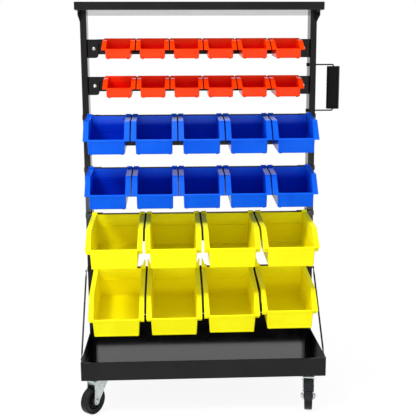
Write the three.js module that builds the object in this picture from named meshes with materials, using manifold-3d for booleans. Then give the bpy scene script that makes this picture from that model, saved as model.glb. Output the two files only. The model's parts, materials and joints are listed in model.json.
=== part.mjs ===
// Mobile bin cart: a steel rack on swivel casters with six hanging rails and thirty lift-off bins.
// Millimetres. X runs along the cart, Y from front to back, Z up, floor at zero.
import * as THREE from 'three';
import { mergeVertices } from 'three/addons/utils/BufferGeometryUtils.js';
import Module from 'manifold-3d';

const wasm = await Module();
wasm.setup();

// General sizes
const overallHeight = 1091;
const fit = 0.3; // gap left between pieces that touch
const overrun = 2; // how far a cutting shape passes the face it cuts
const sheet = 1.5; // steel sheet of the trays and posts

// Top tray
const topTrayOverhang = 3; // past the bottom tray at each end
const topTrayDepth = 230;
const topTrayHeight = 21;
const topTrayLead = 80; // front of the tray ahead of the posts' front faces

// Bottom tray
const bottomTrayMargin = 15.45; // tray's end past the widest row of bins
const bottomTrayDepth = 402;
const bottomTrayHeight = 51.5;
const bottomTrayLead = 222;
const trayHem = 7; // folded edge along the bottom tray's rim
const hemThickness = 3.6;

// Posts
const postWidth = 18;
const postDepth = 50;
const gussetReach = 45;
const gussetDrop = 25;
const gussetThickness = 2;
const gussetToe = 11;

// Rails. Each rail's top edge stands at a share of the clear height between the trays, two to a colour
const redRailShares = [0.921, 0.811];
const blueRailShares = [0.6975, 0.538];
const yellowRailShares = [0.3955, 0.224];
const narrowRail = 40;
const wideRail = 88;
const deepRail = 150;
const railSheet = 2;
const lipHeight = 11.5;
const lipLead = 8.5; // front of the hooking lip ahead of the posts' front faces
const webClearance = 1; // behind the lower back corner of the bin that leans most
const bracketWidth = 30;
const bracketHeight = 50;
const bracketSetback = 2;
const bracketLeg = 34;
const bracketCorner = 8;
const screwDiameter = 10;
const screwHead = 3;
const screwInset = 18.5;
const screwDrop = 25;

// Bins: sizes with the bin level. hookGap is the open width between a bin's two hooks, or 0 for one hook
// that runs right across. Row by row, lugRises gives how far the lugs rise above the hooks, and leans how
// far each bin's front hangs down, in degrees
const binWall = 2;
const rimThickness = 2.2;
const hookThickness = 2;
const hookDepth = 8;
const hookPlay = 0.5;
const footHeight = 1.6;
const footWidth = 6;
const footInset = 4; // feet in from the body's corners
const lugTip = 3; // width of a lug's top
const alike = (count, lean) => Array(count).fill(lean);
const redBin = {
  topWidth: 67.5, bottomWidth: 65, flange: 9.25, length: 102, height: 46, shoulder: 56, frontDrop: 21,
  gap: 3.5, shift: 7.5, rimBelowLip: 1, hookGap: 0,
  lugRises: [0, 0], leans: [alike(6, 4.5), alike(6, 4.5)],
};
const blueBin = {
  topWidth: 98.5, bottomWidth: 96, flange: 11.5, length: 138, height: 82.5, shoulder: 96, frontDrop: 44,
  gap: 3.9, shift: 0, rimBelowLip: 3, hookGap: 92,
  lugRises: [0, 0], leans: [alike(5, 5.5), alike(5, 5.5)],
};
const yellowBin = {
  topWidth: 127, bottomWidth: 118.5, flange: 10.5, length: 211, height: 93.5, shoulder: 156, frontDrop: 40,
  gap: 6, shift: -1, rimBelowLip: 3, hookGap: 119,
  lugRises: [0, 22], leans: [alike(4, 4.5), [14.5, 14, 12.2, 9.1]],
};

// Diagonal braces
const braceDiameter = 5;
const braceTopHeight = 344;
const braceTopSetback = 6;
const braceFootLead = 172;
const braceFootDrop = 9;
const braceScrew = 9;

// Push handle on the right-hand post
const handleRod = 4;
const handleReach = 53; // rod's axis out from the post
const handleTopShare = 0.609; // upper end's height in the clear space between the red rails
const handleNutClearance = 1.5; // lower end's nut above the first blue rail
const handleBend = 4;
const handleSetback = 25;
const handleNut = 11;
const handleNutThickness = 5;
const gripWidth = 35;
const gripDepth = 24;
const gripCorner = 8;
const gripShoulder = 2;
const gripTurn = -22; // degrees that the sleeve was left turned on its rod

// Casters
const casterInsetX = 39;
const casterInsetY = 45;
const casterTrail = 20;
const wheelDiameter = 75;
const wheelWidth = 21;
const wheelClearance = 8.4; // under the kingpin's nut
const treadCrown = 1.2;
const hubDiameter = 26;
const hubProud = 2; // hub's end past the tyre's side
const webRecess = 4;
const axleDiameter = 8;
const axleNut = 14;
const axleNutThickness = 4.5;
const plateWidth = 70;
const plateDepth = 58;
const plateThickness = 3;
const plateCorner = 6;
const plateBolt = 11;
const plateBoltHeight = 4;
const plateBoltInset = 9;
const raceDiameter = 44;
const raceHeight = 6;
const kingpinDiameter = 10;
const kingpinNut = 17;
const kingpinNutHeight = 5;
const crownHeight = 5;
const crownLength = 50;
const forkPlay = 0.75; // between the hub's end and the fork
const forkSheet = 2.5;
const forkEnd = 20;
const frontLeftTurn = -38; // degrees that each front caster is turned, as it was left standing
const frontRightTurn = -9;
const pedalWidth = 27.5;
const pedalBoss = 9;
const pedalPin = 4;
const pedalPinRise = 7; // pin's axis above the top of the wheel
const pedalPinLead = 17;
const pedalHeadRise = 5; // the head's top above the pin
const pedalHeadLead = 23; // front edge of its top ahead of the pin
const pedalToeLead = 40;
const pedalToeDrop = 16;
const pedalLip = 3;
const pedalLift = 20; // degrees from braked to free
const tongueWidth = 17;
const tongueThickness = 4.5;
const tongueFrom = 4; // degrees above level at the wheel's axle
const tongueTo = 70;
const brakeGap = 0.7;

// Roundness of turned shapes
const fineSides = 32;
const plainSides = 16;
const rodSides = 10;
const hexSides = 6;
const bendSteps = 5;

// Sizes that follow
const radians = (degrees) => THREE.MathUtils.degToRad(degrees);
const mostLean = (size) => radians(Math.max(...size.leans.flat()));
const casterHeight = wheelDiameter + wheelClearance + kingpinNutHeight + crownHeight + raceHeight
  + plateThickness + 2 * fit;
const pedalPinHeight = wheelDiameter + pedalPinRise;
const hubWidth = wheelWidth + 2 * hubProud;
const forkGap = hubWidth + 2 * forkPlay;
const binLevels = [redBin, blueBin, yellowBin];
const pitchOf = (size) => size.topWidth + 2 * size.flange + size.gap;
const rowWidths = binLevels.map((size) => size.leans[0].length * pitchOf(size) - size.gap);
const bottomTrayWidth = Math.max(...rowWidths) + 2 * bottomTrayMargin;
const topTrayWidth = bottomTrayWidth + 2 * topTrayOverhang;
const topTrayFloor = overallHeight - topTrayHeight;
const bottomTrayFloor = casterHeight + sheet;
const bottomTrayRim = casterHeight + bottomTrayHeight;
const postOuter = bottomTrayWidth / 2 - sheet - fit;
const postInner = postOuter - postWidth;
const webEnd = postInner - fit;
const webLipEnd = webEnd - bracketWidth;
const lipMiddle = -lipLead + railSheet / 2;
const railTops = (shares) => shares.map((share) => bottomTrayRim + share * (topTrayFloor - bottomTrayRim));
const redRailTops = railTops(redRailShares);
const blueRailTops = railTops(blueRailShares);
const yellowRailTops = railTops(yellowRailShares);
const backOf = (size) => -(railSheet / 2 + lipHeight * Math.sin(mostLean(size)) + hookPlay);
const cornerOf = (size) => backOf(size) * Math.cos(mostLean(size))
  + (size.rimBelowLip + size.height - footHeight) * Math.sin(mostLean(size));
const webSetback = lipMiddle + Math.max(...binLevels.map(cornerOf)) + webClearance;
const handleTop = redRailTops[1] + handleTopShare * (redRailTops[0] - bracketHeight - redRailTops[1]);
const handleBottom = blueRailTops[0] + handleNutClearance + handleNut / 2;
const wheelRadius = wheelDiameter / 2;
const raceBottom = casterHeight - plateThickness - raceHeight;

// Materials of the photographed finishes
const finish = (color, roughness, metalness) =>
  new THREE.MeshStandardMaterial({ color, roughness, metalness });
const blackPaint = () => finish(0x2b2a2d, 0.3, 0.1);
const zinc = () => finish(0xc8d0cd, 0.35, 0.9);
const redPlastic = () => finish(0xff4610, 0.4, 0);
const bluePlastic = () => finish(0x146efa, 0.4, 0);
const yellowPlastic = () => finish(0xfffc23, 0.4, 0);
const greyRubber = () => finish(0x3c3c41, 0.7, 0);
const pedalPlastic = () => finish(0x50585f, 0.5, 0);
const gripPlastic = () => finish(0x17171a, 0.4, 0);

// Solids for joining and cutting
function solidOf(geometry) {
  const bare = geometry.clone();
  for (const name of Object.keys(bare.attributes)) {
    if (name !== 'position') bare.deleteAttribute(name);
  }
  const merged = mergeVertices(bare);
  return new wasm.Manifold(new wasm.Mesh({
    numProp: 3,
    vertProperties: new Float32Array(merged.attributes.position.array),
    triVerts: new Uint32Array(merged.index.array),
  }));
}

function geometryOf(solid) {
  const mesh = solid.getMesh();
  const geometry = new THREE.BufferGeometry();
  geometry.setAttribute('position', new THREE.BufferAttribute(mesh.vertProperties, mesh.numProp));
  geometry.setIndex(new THREE.BufferAttribute(mesh.triVerts, 1));
  geometry.computeVertexNormals();
  return geometry;
}

const join = (solids) => solids.reduce((whole, piece) => whole.add(piece));

function extrude(points, depth) {
  const shape = points instanceof THREE.Shape ? points
    : new THREE.Shape(points.map(([u, v]) => new THREE.Vector2(u, v)));
  return new THREE.ExtrudeGeometry(shape, { depth, bevelEnabled: false, curveSegments: bendSteps });
}

// An outline in Y and Z, run along X
function acrossX(points, from, to) {
  const turn = new THREE.Matrix4().makeBasis(
    new THREE.Vector3(0, 1, 0), new THREE.Vector3(0, 0, 1), new THREE.Vector3(1, 0, 0));
  return solidOf(extrude(points, to - from).applyMatrix4(turn).translate(from, 0, 0));
}

// An outline in X and Z, run along Y
function alongY(points, from, to) {
  return solidOf(extrude(points, to - from).rotateX(Math.PI / 2).translate(0, to, 0));
}

// An outline in X and Y, run up Z
function upZ(points, from, to) {
  return solidOf(extrude(points, to - from).translate(0, 0, from));
}

function block([x0, x1], [y0, y1], [z0, z1]) {
  const box = new THREE.BoxGeometry(x1 - x0, y1 - y0, z1 - z0);
  return solidOf(box.translate((x0 + x1) / 2, (y0 + y1) / 2, (z0 + z1) / 2));
}

// A round or many-sided bar between two points
function bar(start, end, diameter, sides) {
  const from = new THREE.Vector3(...start);
  const span = new THREE.Vector3(...end).sub(from);
  const body = new THREE.CylinderGeometry(diameter / 2, diameter / 2, span.length(), sides);
  const up = new THREE.Vector3(0, 1, 0);
  body.applyQuaternion(new THREE.Quaternion().setFromUnitVectors(up, span.clone().normalize()));
  const middle = from.addScaledVector(span, 1 / 2);
  return solidOf(body.translate(middle.x, middle.y, middle.z));
}

// A profile of radius and height turned about the X axis
function turnedX(profile, sides) {
  const points = profile.map(([radius, along]) => new THREE.Vector2(radius, along));
  return solidOf(new THREE.LatheGeometry(points, sides).rotateZ(-Math.PI / 2));
}

function roundedRectangle(width, depth, radius) {
  const shape = new THREE.Shape();
  const x = width / 2;
  const y = depth / 2;
  shape.moveTo(-x + radius, -y);
  shape.lineTo(x - radius, -y);
  shape.quadraticCurveTo(x, -y, x, -y + radius);
  shape.lineTo(x, y - radius);
  shape.quadraticCurveTo(x, y, x - radius, y);
  shape.lineTo(-x + radius, y);
  shape.quadraticCurveTo(-x, y, -x, y - radius);
  shape.lineTo(-x, -y + radius);
  shape.quadraticCurveTo(-x, -y, -x + radius, -y);
  return shape;
}

const cart = new THREE.Group();

function place(parent, name, solid, material) {
  const mesh = new THREE.Mesh(geometryOf(solid), material);
  mesh.name = name;
  parent.add(mesh);
  return mesh;
}

// Folded pan with its open side up
function pan(width, front, back, bottom, top) {
  const outside = block([-width / 2, width / 2], [front, back], [bottom, top]);
  const inside = block([-width / 2 + sheet, width / 2 - sheet], [front + sheet, back - sheet],
    [bottom + sheet, top + overrun]);
  return outside.subtract(inside);
}

function topTray() {
  return pan(topTrayWidth, -topTrayLead, topTrayDepth - topTrayLead, topTrayFloor, overallHeight);
}

// The bottom pan's front and back edges are folded in to a thick hem; the side edges stay plain
function bottomTray() {
  const front = -bottomTrayLead;
  const back = bottomTrayDepth - bottomTrayLead;
  const body = pan(bottomTrayWidth, front, back, casterHeight, bottomTrayRim);
  const halfInside = bottomTrayWidth / 2 - sheet / 2;
  const hemHeights = [bottomTrayRim - trayHem, bottomTrayRim];
  const frontHem = block([-halfInside, halfInside], [front + sheet / 2, front + hemThickness], hemHeights);
  const backHem = block([-halfInside, halfInside], [back - hemThickness, back - sheet / 2], hemHeights);
  return join([body, frontHem, backHem]);
}

// Rectangular tube with a welded gusset under the top tray. side is -1 on the left, 1 on the right
function post(side) {
  const foot = bottomTrayFloor + fit;
  const head = topTrayFloor - fit;
  const outer = side * postOuter;
  const inner = side * postInner;
  const ends = [Math.min(outer, inner), Math.max(outer, inner)];
  const tube = block(ends, [0, postDepth], [foot, head]).subtract(
    block([ends[0] + sheet, ends[1] - sheet], [sheet, postDepth - sheet], [foot - overrun, head + overrun]));
  const outline = [[sheet, head - gussetDrop], [sheet, head], [-gussetReach, head],
    [-gussetReach, head - gussetToe], [0, head - gussetDrop]];
  const edge = outer - side * gussetThickness;
  const gusset = acrossX(outline, Math.min(outer, edge), Math.max(outer, edge));
  return tube.add(gusset);
}

// Holes through the right-hand post for the handle's two ends
function handleHoles() {
  const drill = (height) => bar([postInner - overrun, handleSetback, height],
    [postOuter + overrun, handleSetback, height], handleRod + 2 * fit, rodSides);
  return drill(handleTop).add(drill(handleBottom));
}

// Bent strip with an upright hooking lip, a bracket at each end and a screw in each bracket. Where a row of
// bins is wider than the strip, the lip runs on in front of the posts
function rail(height, lipEnd) {
  const lipBottom = -lipHeight - railSheet;
  const lipBack = -lipLead + railSheet;
  const strip = [[-lipLead, 0], [-lipLead, lipBottom], [webSetback, lipBottom], [webSetback, -lipHeight],
    [lipBack, -lipHeight], [lipBack, 0]];
  const lip = [[-lipLead, 0], [-lipLead, lipBottom], [lipBack, lipBottom], [lipBack, 0]];
  const pieces = [
    acrossX(strip, -webLipEnd, webLipEnd),
    acrossX(lip, -lipEnd, lipEnd),
    block([-webEnd, webEnd], [webSetback, webSetback + railSheet], [-height, -lipHeight]),
  ];
  for (const side of [-1, 1]) {
    const near = side * webLipEnd;
    const far = side * webEnd;
    const outline = new THREE.Shape();
    outline.moveTo(far, 0);
    outline.lineTo(far, -bracketHeight);
    outline.lineTo(near + side * bracketCorner, -bracketHeight);
    outline.quadraticCurveTo(near, -bracketHeight, near, -bracketHeight + bracketCorner);
    outline.lineTo(near, 0);
    const plate = alongY(outline, bracketSetback, bracketSetback + railSheet);
    const leg = block([Math.min(far, far - side * railSheet), Math.max(far, far - side * railSheet)],
      [bracketSetback, bracketSetback + bracketLeg], [-bracketHeight, 0]);
    const screwX = far - side * screwInset;
    const rim = turnedX([[0, 0], [screwDiameter / 2, 0], [screwDiameter / 2, screwHead / 3],
      [screwDiameter / 3, screwHead], [0, screwHead]], plainSides);
    const screw = rim.rotate([0, 0, -90]).translate([screwX, bracketSetback, -screwDrop]);
    pieces.push(plate, leg, screw);
  }
  return join(pieces);
}

// Hang-on bin, open at the top and low at the front. Its origin is on the lip that carries it
function bin(size, lugRise) {
  const back = backOf(size);
  const ceiling = fit + railSheet / 2 * Math.sin(mostLean(size));
  const rim = -size.rimBelowLip;
  const front = back - size.length;
  const shoulder = back - size.shoulder;
  const low = rim - size.frontDrop;
  const bottom = rim - size.height + footHeight;
  const slope = (size.topWidth - size.bottomWidth) / 2 / size.height;
  const side = [[back, rim], [shoulder, rim], [front, low], [front + footHeight, bottom], [back, bottom]];
  const section = (gap, floor, top) => {
    const topHalf = size.topWidth / 2 - gap + (top - rim) * slope;
    const floorHalf = size.topWidth / 2 - gap + (floor - rim) * slope;
    return [[-floorHalf, floor], [floorHalf, floor], [topHalf, top], [-topHalf, top]];
  };
  const half = size.topWidth / 2 + size.flange;
  const shell = acrossX(side, -half, half)
    .intersect(alongY(section(0, bottom, rim), front - overrun, back + overrun));
  const hollow = alongY(section(binWall, bottom + binWall, rim + overrun), front + binWall, back - binWall);

  const rimBand = [[back, rim], [shoulder, rim], [front, low], [front, low - rimThickness],
    [shoulder, rim - rimThickness], [back, rim - rimThickness]];
  const rims = acrossX(rimBand, -half, half);

  // The hooks run over the lip and down behind it
  const hookTop = ceiling + hookThickness;
  const hookFront = railSheet / 2 + hookPlay;
  const hookOutline = [[back - binWall, rim - binWall], [back, rim - binWall], [back, ceiling],
    [hookFront, ceiling], [hookFront, -hookDepth], [hookFront + hookThickness, -hookDepth],
    [hookFront + hookThickness, hookTop], [back - binWall, hookTop]];
  const open = size.hookGap / 2;
  const hookEnds = open > 0 ? [[-half, -open], [open, half]] : [[-half, half]];
  const hooks = hookEnds.map(([from, to]) => acrossX(hookOutline, from, to));

  const footFront = front + footHeight + footInset;
  const footHalf = size.bottomWidth / 2 - footInset;
  const rightFoot = block([footHalf - footWidth, footHalf], [footFront, footFront + footWidth],
    [bottom - footHeight, bottom + binWall / 2]);
  const feet = [rightFoot, rightFoot.mirror([1, 0, 0])];

  const lugs = lugRise > 0 ? [-1, 1].map((end) => {
    const inner = end * (size.topWidth / 2);
    const outer = end * half;
    return alongY([[inner, rim - rimThickness], [outer, rim - rimThickness], [outer, hookTop + lugRise],
      [outer - end * lugTip, hookTop + lugRise], [inner, hookTop]], back - binWall, back);
  }) : [];
  return join([shell, rims]).subtract(hollow).add(join([...hooks, ...feet, ...lugs]));
}

function binRow(colour, row, size, railTop, material) {
  const solid = bin(size, size.lugRises[row]);
  const leans = size.leans[row];
  leans.forEach((lean, index) => {
    const mesh = place(cart, `${colour}_bin_${row + 1}_${index + 1}`, solid, material());
    mesh.position.set(size.shift + (index - (leans.length - 1) / 2) * pitchOf(size), lipMiddle, railTop);
    mesh.rotation.x = radians(lean);
  });
}

// Round rod with flattened eyes, screwed to the post above and to the tray's side below
function brace(side) {
  const middle = side * (bottomTrayWidth / 2 + fit + braceDiameter / 2);
  const top = [middle, braceTopSetback, braceTopHeight];
  const foot = [middle, -braceFootLead, bottomTrayRim - braceFootDrop];
  const postFace = side * (postOuter + fit);
  const trayFace = side * (bottomTrayWidth / 2 + fit);
  const outside = middle + side * braceDiameter / 2;
  const topEye = bar([postFace, top[1], top[2]], [outside, top[1], top[2]], braceScrew, plainSides);
  const footEye = bar([trayFace, foot[1], foot[2]], [outside, foot[1], foot[2]], braceScrew, plainSides);
  return join([bar(top, foot, braceDiameter, rodSides), topEye, footEye]);
}

// U-shaped rod through the post, with a nut on each end inside
function handle() {
  const nutFace = postInner - fit;
  const start = nutFace - handleNutThickness;
  const axis = postOuter + handleReach;
  const y = handleSetback;
  const corner = axis - handleBend;
  const below = handleTop - handleBend;
  const above = handleBottom + handleBend;
  const point = (x, z) => new THREE.Vector3(x, y, z);
  const section = new THREE.Shape();
  section.absarc(0, 0, handleRod / 2, 0, 2 * Math.PI);
  const bend = (...points) => solidOf(new THREE.ExtrudeGeometry(section, {
    steps: bendSteps, curveSegments: rodSides, extrudePath: new THREE.QuadraticBezierCurve3(...points),
  }));
  const nuts = [handleTop, handleBottom].map((height) =>
    bar([start, y, height], [nutFace, y, height], handleNut, hexSides));
  return join([
    bar([start, y, handleTop], [corner + fit, y, handleTop], handleRod, rodSides),
    bend(point(corner, handleTop), point(axis, handleTop), point(axis, below)),
    bar([axis, y, below + fit], [axis, y, above - fit], handleRod, rodSides),
    bend(point(axis, above), point(axis, handleBottom), point(corner, handleBottom)),
    bar([start, y, handleBottom], [corner + fit, y, handleBottom], handleRod, rodSides),
    ...nuts,
  ]);
}

// Plastic sleeve with rounded corners that turns on the rod's upright, about the upright's axis
function grip() {
  const top = handleTop - handleBend - fit;
  const bottom = handleBottom + handleBend + fit;
  const full = roundedRectangle(gripWidth, gripDepth, gripCorner);
  const narrow = roundedRectangle(gripWidth - 2 * gripShoulder, gripDepth - 2 * gripShoulder,
    gripCorner - gripShoulder);
  const body = upZ(full, bottom + gripShoulder, top - gripShoulder).add(upZ(narrow, bottom, top));
  const bore = bar([0, 0, bottom - overrun], [0, 0, top + overrun], handleRod + 2 * fit, rodSides);
  return body.subtract(bore);
}

// Caster pieces stand about the swivel axis, with the wheel trailing towards the front
function casterPlate() {
  const under = casterHeight - fit;
  const plate = upZ(roundedRectangle(plateWidth, plateDepth, plateCorner), under - plateThickness, under);
  const race = bar([0, 0, raceBottom], [0, 0, under - plateThickness / 2], raceDiameter, plainSides);
  const nutTop = raceBottom - 2 * fit - crownHeight;
  const nutBottom = nutTop - kingpinNutHeight;
  const pin = bar([0, 0, nutBottom], [0, 0, raceBottom + raceHeight / 2], kingpinDiameter, plainSides);
  const nut = bar([0, 0, nutBottom], [0, 0, nutTop], kingpinNut, hexSides);
  const bolts = [];
  for (const x of [-1, 1]) {
    for (const y of [-1, 1]) {
      const at = [x * (plateWidth / 2 - plateBoltInset), y * (plateDepth / 2 - plateBoltInset)];
      bolts.push(bar([...at, under - plateThickness - plateBoltHeight], [...at, under - plateThickness / 2],
        plateBolt, hexSides));
    }
  }
  return join([plate, race, pin, nut, ...bolts]);
}

function casterFork(braked) {
  const crownTop = raceBottom - fit;
  const crownBottom = crownTop - crownHeight;
  const inner = forkGap / 2;
  const outer = inner + forkSheet;
  const halfCrown = crownLength / 2;
  const endRadius = forkEnd / 2;
  const outline = new THREE.Shape();
  outline.moveTo(halfCrown, crownTop);
  outline.lineTo(-halfCrown, crownTop);
  outline.lineTo(-halfCrown, crownBottom - forkSheet);
  outline.lineTo(-casterTrail - endRadius, wheelRadius);
  outline.absarc(-casterTrail, wheelRadius, endRadius, Math.PI, 2 * Math.PI, false);
  outline.lineTo(halfCrown, crownBottom - forkSheet);
  const body = acrossX(outline, -outer, outer);
  const slot = block([-inner, inner], [-halfCrown * 2, halfCrown * 2], [-overrun, crownBottom]);
  const hole = bar([0, 0, crownBottom - overrun], [0, 0, crownTop + overrun],
    kingpinDiameter + 2 * fit, plainSides);
  const nutEnd = outer + axleNutThickness;
  const at = [-casterTrail, wheelRadius];
  const axle = bar([-outer, ...at], [outer, ...at], axleDiameter, plainSides);
  const nuts = [-1, 1].map((end) => bar([end * (outer - forkSheet / 2), ...at], [end * nutEnd, ...at],
    axleNut, hexSides));
  const pins = braked ? [bar([-outer, -pedalPinLead, pedalPinHeight], [outer, -pedalPinLead, pedalPinHeight],
    pedalPin, plainSides)] : [];
  return body.subtract(slot.add(hole)).add(join([axle, ...nuts, ...pins]));
}

// Wheel about its axle: a crowned tyre, a thinner web and a hub with a through bore
function wheel() {
  const half = wheelWidth / 2;
  const bore = axleDiameter / 2 + fit;
  const hub = hubDiameter / 2;
  const webOuter = wheelRadius - webRecess * 2;
  const profile = [[bore, -hubWidth / 2], [hub, -hubWidth / 2], [hub, -half + webRecess],
    [webOuter, -half + webRecess], [wheelRadius - treadCrown, -half], [wheelRadius, -half / 2],
    [wheelRadius, half / 2], [wheelRadius - treadCrown, half], [webOuter, half - webRecess],
    [hub, half - webRecess],
    [hub, hubWidth / 2], [bore, hubWidth / 2], [bore, -hubWidth / 2]];
  return turnedX(profile, fineSides);
}

// Brake pedal about its pin: a wide head over the fork's front, and a tongue that follows the wheel
function pedal() {
  const axleY = pedalPinLead - casterTrail;
  const axleZ = wheelRadius - pedalPinHeight;
  const clear = wheelRadius + brakeGap;
  const level = Math.PI - radians(tongueFrom);
  const upright = Math.PI - radians(tongueTo);
  const band = new THREE.Shape();
  band.absarc(axleY, axleZ, clear + tongueThickness, level, upright, true);
  band.absarc(axleY, axleZ, clear - overrun, upright, level, false);
  const tongue = acrossX(band, -tongueWidth / 2, tongueWidth / 2);

  // Lifted, the neck passes under the crown's front edge and the head stays ahead of it
  const crownLead = crownLength / 2 - pedalPinLead;
  const crownGap = raceBottom - fit - crownHeight - pedalPinHeight;
  const lift = radians(pedalLift);
  const neckRise = crownGap * Math.cos(lift) - crownLead * Math.sin(lift) - fit;
  const headBack = -(crownLead + pedalHeadRise * Math.sin(lift) + fit) / Math.cos(lift);
  const head = [[headBack, -pedalBoss], [headBack, pedalHeadRise], [-pedalHeadLead, pedalHeadRise],
    [-pedalToeLead, -pedalToeDrop], [-pedalToeLead + pedalLip, -pedalToeDrop - pedalLip],
    [-pedalHeadLead, -pedalToeDrop - pedalLip]];
  const pad = acrossX(head, -pedalWidth / 2, pedalWidth / 2);
  const neckHalf = forkGap / 2 - 2 * fit;
  const neckEnd = [[-pedalPinLead, -pedalBoss / 2], [0, -pedalBoss / 2], [0, neckRise],
    [-pedalPinLead, neckRise]];
  const neck = acrossX(neckEnd, -neckHalf, neckHalf);
  const boss = bar([-neckHalf, 0, 0], [neckHalf, 0, 0], pedalBoss, plainSides);
  const bore = bar([-pedalWidth, 0, 0], [pedalWidth, 0, 0], pedalPin + 2 * fit, plainSides);
  const tyre = bar([-pedalWidth, axleY, axleZ], [pedalWidth, axleY, axleZ], 2 * clear, fineSides);
  const legFront = pedalPinLead - casterTrail - forkEnd / 2 - fit;
  const legs = block([neckHalf, pedalWidth], [legFront, pedalWidth],
    [-pedalPinHeight, pedalPinHeight]);
  const otherLegs = legs.mirror([1, 0, 0]);
  return join([tongue, pad, neck, boss]).subtract(join([bore, tyre, legs, otherLegs]));
}

// Frame
place(cart, 'top_tray', topTray(), blackPaint());
place(cart, 'bottom_tray', bottomTray(), blackPaint());
place(cart, 'post_left', post(-1), blackPaint());
place(cart, 'post_right', post(1).subtract(handleHoles()), blackPaint());
place(cart, 'brace_left', brace(-1), blackPaint());
place(cart, 'brace_right', brace(1), blackPaint());
place(cart, 'handle_rod', handle(), blackPaint());
const sleeve = place(cart, 'handle_grip', grip(), gripPlastic());
sleeve.position.set(postOuter + handleReach, handleSetback, 0);
sleeve.rotation.z = radians(gripTurn);

// Rows of bins on their rails, from the top down
const levels = [
  ['red', redBin, redRailTops, [narrowRail, narrowRail], webLipEnd, redPlastic],
  ['blue', blueBin, blueRailTops, [wideRail, wideRail], postOuter, bluePlastic],
  ['yellow', yellowBin, yellowRailTops, [wideRail, deepRail], postOuter, yellowPlastic],
];
for (const [colour, size, tops, heights, lipEnd, material] of levels) {
  tops.forEach((top, row) => {
    place(cart, `${colour}_rail_${row + 1}`, rail(heights[row], lipEnd), blackPaint())
      .position.z = top;
    binRow(colour, row, size, top, material);
  });
}

// Casters
const frontAxis = -bottomTrayLead + casterInsetY;
const backAxis = bottomTrayDepth - bottomTrayLead - casterInsetY;
const sideAxis = bottomTrayWidth / 2 - casterInsetX;
const corners = [
  ['front_left', -sideAxis, frontAxis, frontLeftTurn, false],
  ['front_right', sideAxis, frontAxis, frontRightTurn, true],
  ['back_left', -sideAxis, backAxis, 180, false],
  ['back_right', sideAxis, backAxis, 180, true],
];
for (const [corner, x, y, turn, braked] of corners) {
  place(cart, `caster_plate_${corner}`, casterPlate(), zinc()).position.set(x, y, 0);
  const swivel = new THREE.Group();
  swivel.position.set(x, y, 0);
  swivel.rotation.z = radians(turn);
  cart.add(swivel);
  place(swivel, `caster_fork_${corner}`, casterFork(braked), zinc());
  place(swivel, `wheel_${corner}`, wheel(), greyRubber()).position.set(0, -casterTrail, wheelRadius);
  if (braked) {
    place(swivel, `brake_pedal_${corner}`, pedal(), pedalPlastic())
      .position.set(0, -pedalPinLead, pedalPinHeight);
  }
}

// The cart stands with its origin under the middle of its bounding box
const bounds = new THREE.Box3().setFromObject(cart, true);
const middle = bounds.getCenter(new THREE.Vector3());
cart.position.set(-middle.x, -middle.y, -bounds.min.z);
const model = new THREE.Group();
model.add(cart);

export default model;
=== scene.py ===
import json
import math

import bmesh
import bpy
from mathutils import Matrix, Vector


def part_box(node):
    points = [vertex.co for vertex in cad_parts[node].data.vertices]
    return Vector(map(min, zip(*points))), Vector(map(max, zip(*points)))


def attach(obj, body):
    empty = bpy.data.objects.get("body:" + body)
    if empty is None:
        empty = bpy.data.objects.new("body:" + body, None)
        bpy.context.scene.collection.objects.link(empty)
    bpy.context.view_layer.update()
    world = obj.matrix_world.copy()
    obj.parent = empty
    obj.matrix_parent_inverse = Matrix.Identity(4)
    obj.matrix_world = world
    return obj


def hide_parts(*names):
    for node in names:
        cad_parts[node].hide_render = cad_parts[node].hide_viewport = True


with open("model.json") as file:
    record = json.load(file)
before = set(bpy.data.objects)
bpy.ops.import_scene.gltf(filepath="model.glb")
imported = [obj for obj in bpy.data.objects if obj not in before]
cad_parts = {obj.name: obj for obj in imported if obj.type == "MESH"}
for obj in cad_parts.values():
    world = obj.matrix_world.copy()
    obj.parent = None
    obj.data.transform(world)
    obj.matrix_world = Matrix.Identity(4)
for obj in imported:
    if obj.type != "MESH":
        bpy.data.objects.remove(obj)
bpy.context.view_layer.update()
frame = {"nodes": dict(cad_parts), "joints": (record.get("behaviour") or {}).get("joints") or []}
print("frame loaded with", len(frame["nodes"]), "nodes")

# Shapes are worked out in millimetres and turned to metres when a piece is finished
mm = 0.001
steep = 0.9  # share of a length that has to run along an axis to count as along it
samePoint = 1e-4  # points closer than this are one
onPlane = 1.0  # an edge within this of a plane counts as lying in it
overrun = 5.0  # how far a cutting shape passes through what it cuts
bite = 1.0  # how far a shape runs into the one that it is joined to
fit = 0.3  # gap between pieces that move or are fastened


def nodeBox(node):
    low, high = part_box(node)
    return low / mm, high / mm


def jointPoint(name):
    found = next(joint for joint in frame["joints"] if joint["name"] == name)
    return Vector(found["pos_m"]) / mm


def placed(name, data):
    added = bpy.data.objects.new(name, data)
    bpy.context.scene.collection.objects.link(added)
    return added


def emptied(owner):
    # the node tree of a material or world, without the nodes that it starts with
    owner.use_nodes = True
    owner.node_tree.nodes.clear()
    return owner.node_tree


# Material helpers

def colour(hexCode):  # sRGB hex to linear, by the sRGB standard's own numbers
    channels = [int(hexCode[i:i + 2], 16) / 255 for i in (1, 3, 5)]
    return [c / 12.92 if c <= 0.04045 else ((c + 0.055) / 1.055) ** 2.4 for c in channels] + [1.0]


def addNode(tree, kind, settings=None, links=None):
    node = tree.nodes.new(kind)
    for name, value in (settings or {}).items():
        if isinstance(name, int) or name in node.inputs:
            node.inputs[name].default_value = value
        else:
            setattr(node, name, value)
    for name, source in (links or {}).items():
        tree.links.new(source, node.inputs[name])
    return node


def newMaterial(name, settings):
    material = bpy.data.materials.new(name)
    tree = emptied(material)
    shader = addNode(tree, "ShaderNodeBsdfPrincipled", settings)
    addNode(tree, "ShaderNodeOutputMaterial", links={"Surface": shader.outputs["BSDF"]})
    where = addNode(tree, "ShaderNodeTexCoord").outputs["Object"]
    return material, tree, shader, where


def perMetre(size):  # texture scale that puts one feature every so many millimetres
    return 1 / (size * mm)


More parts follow.
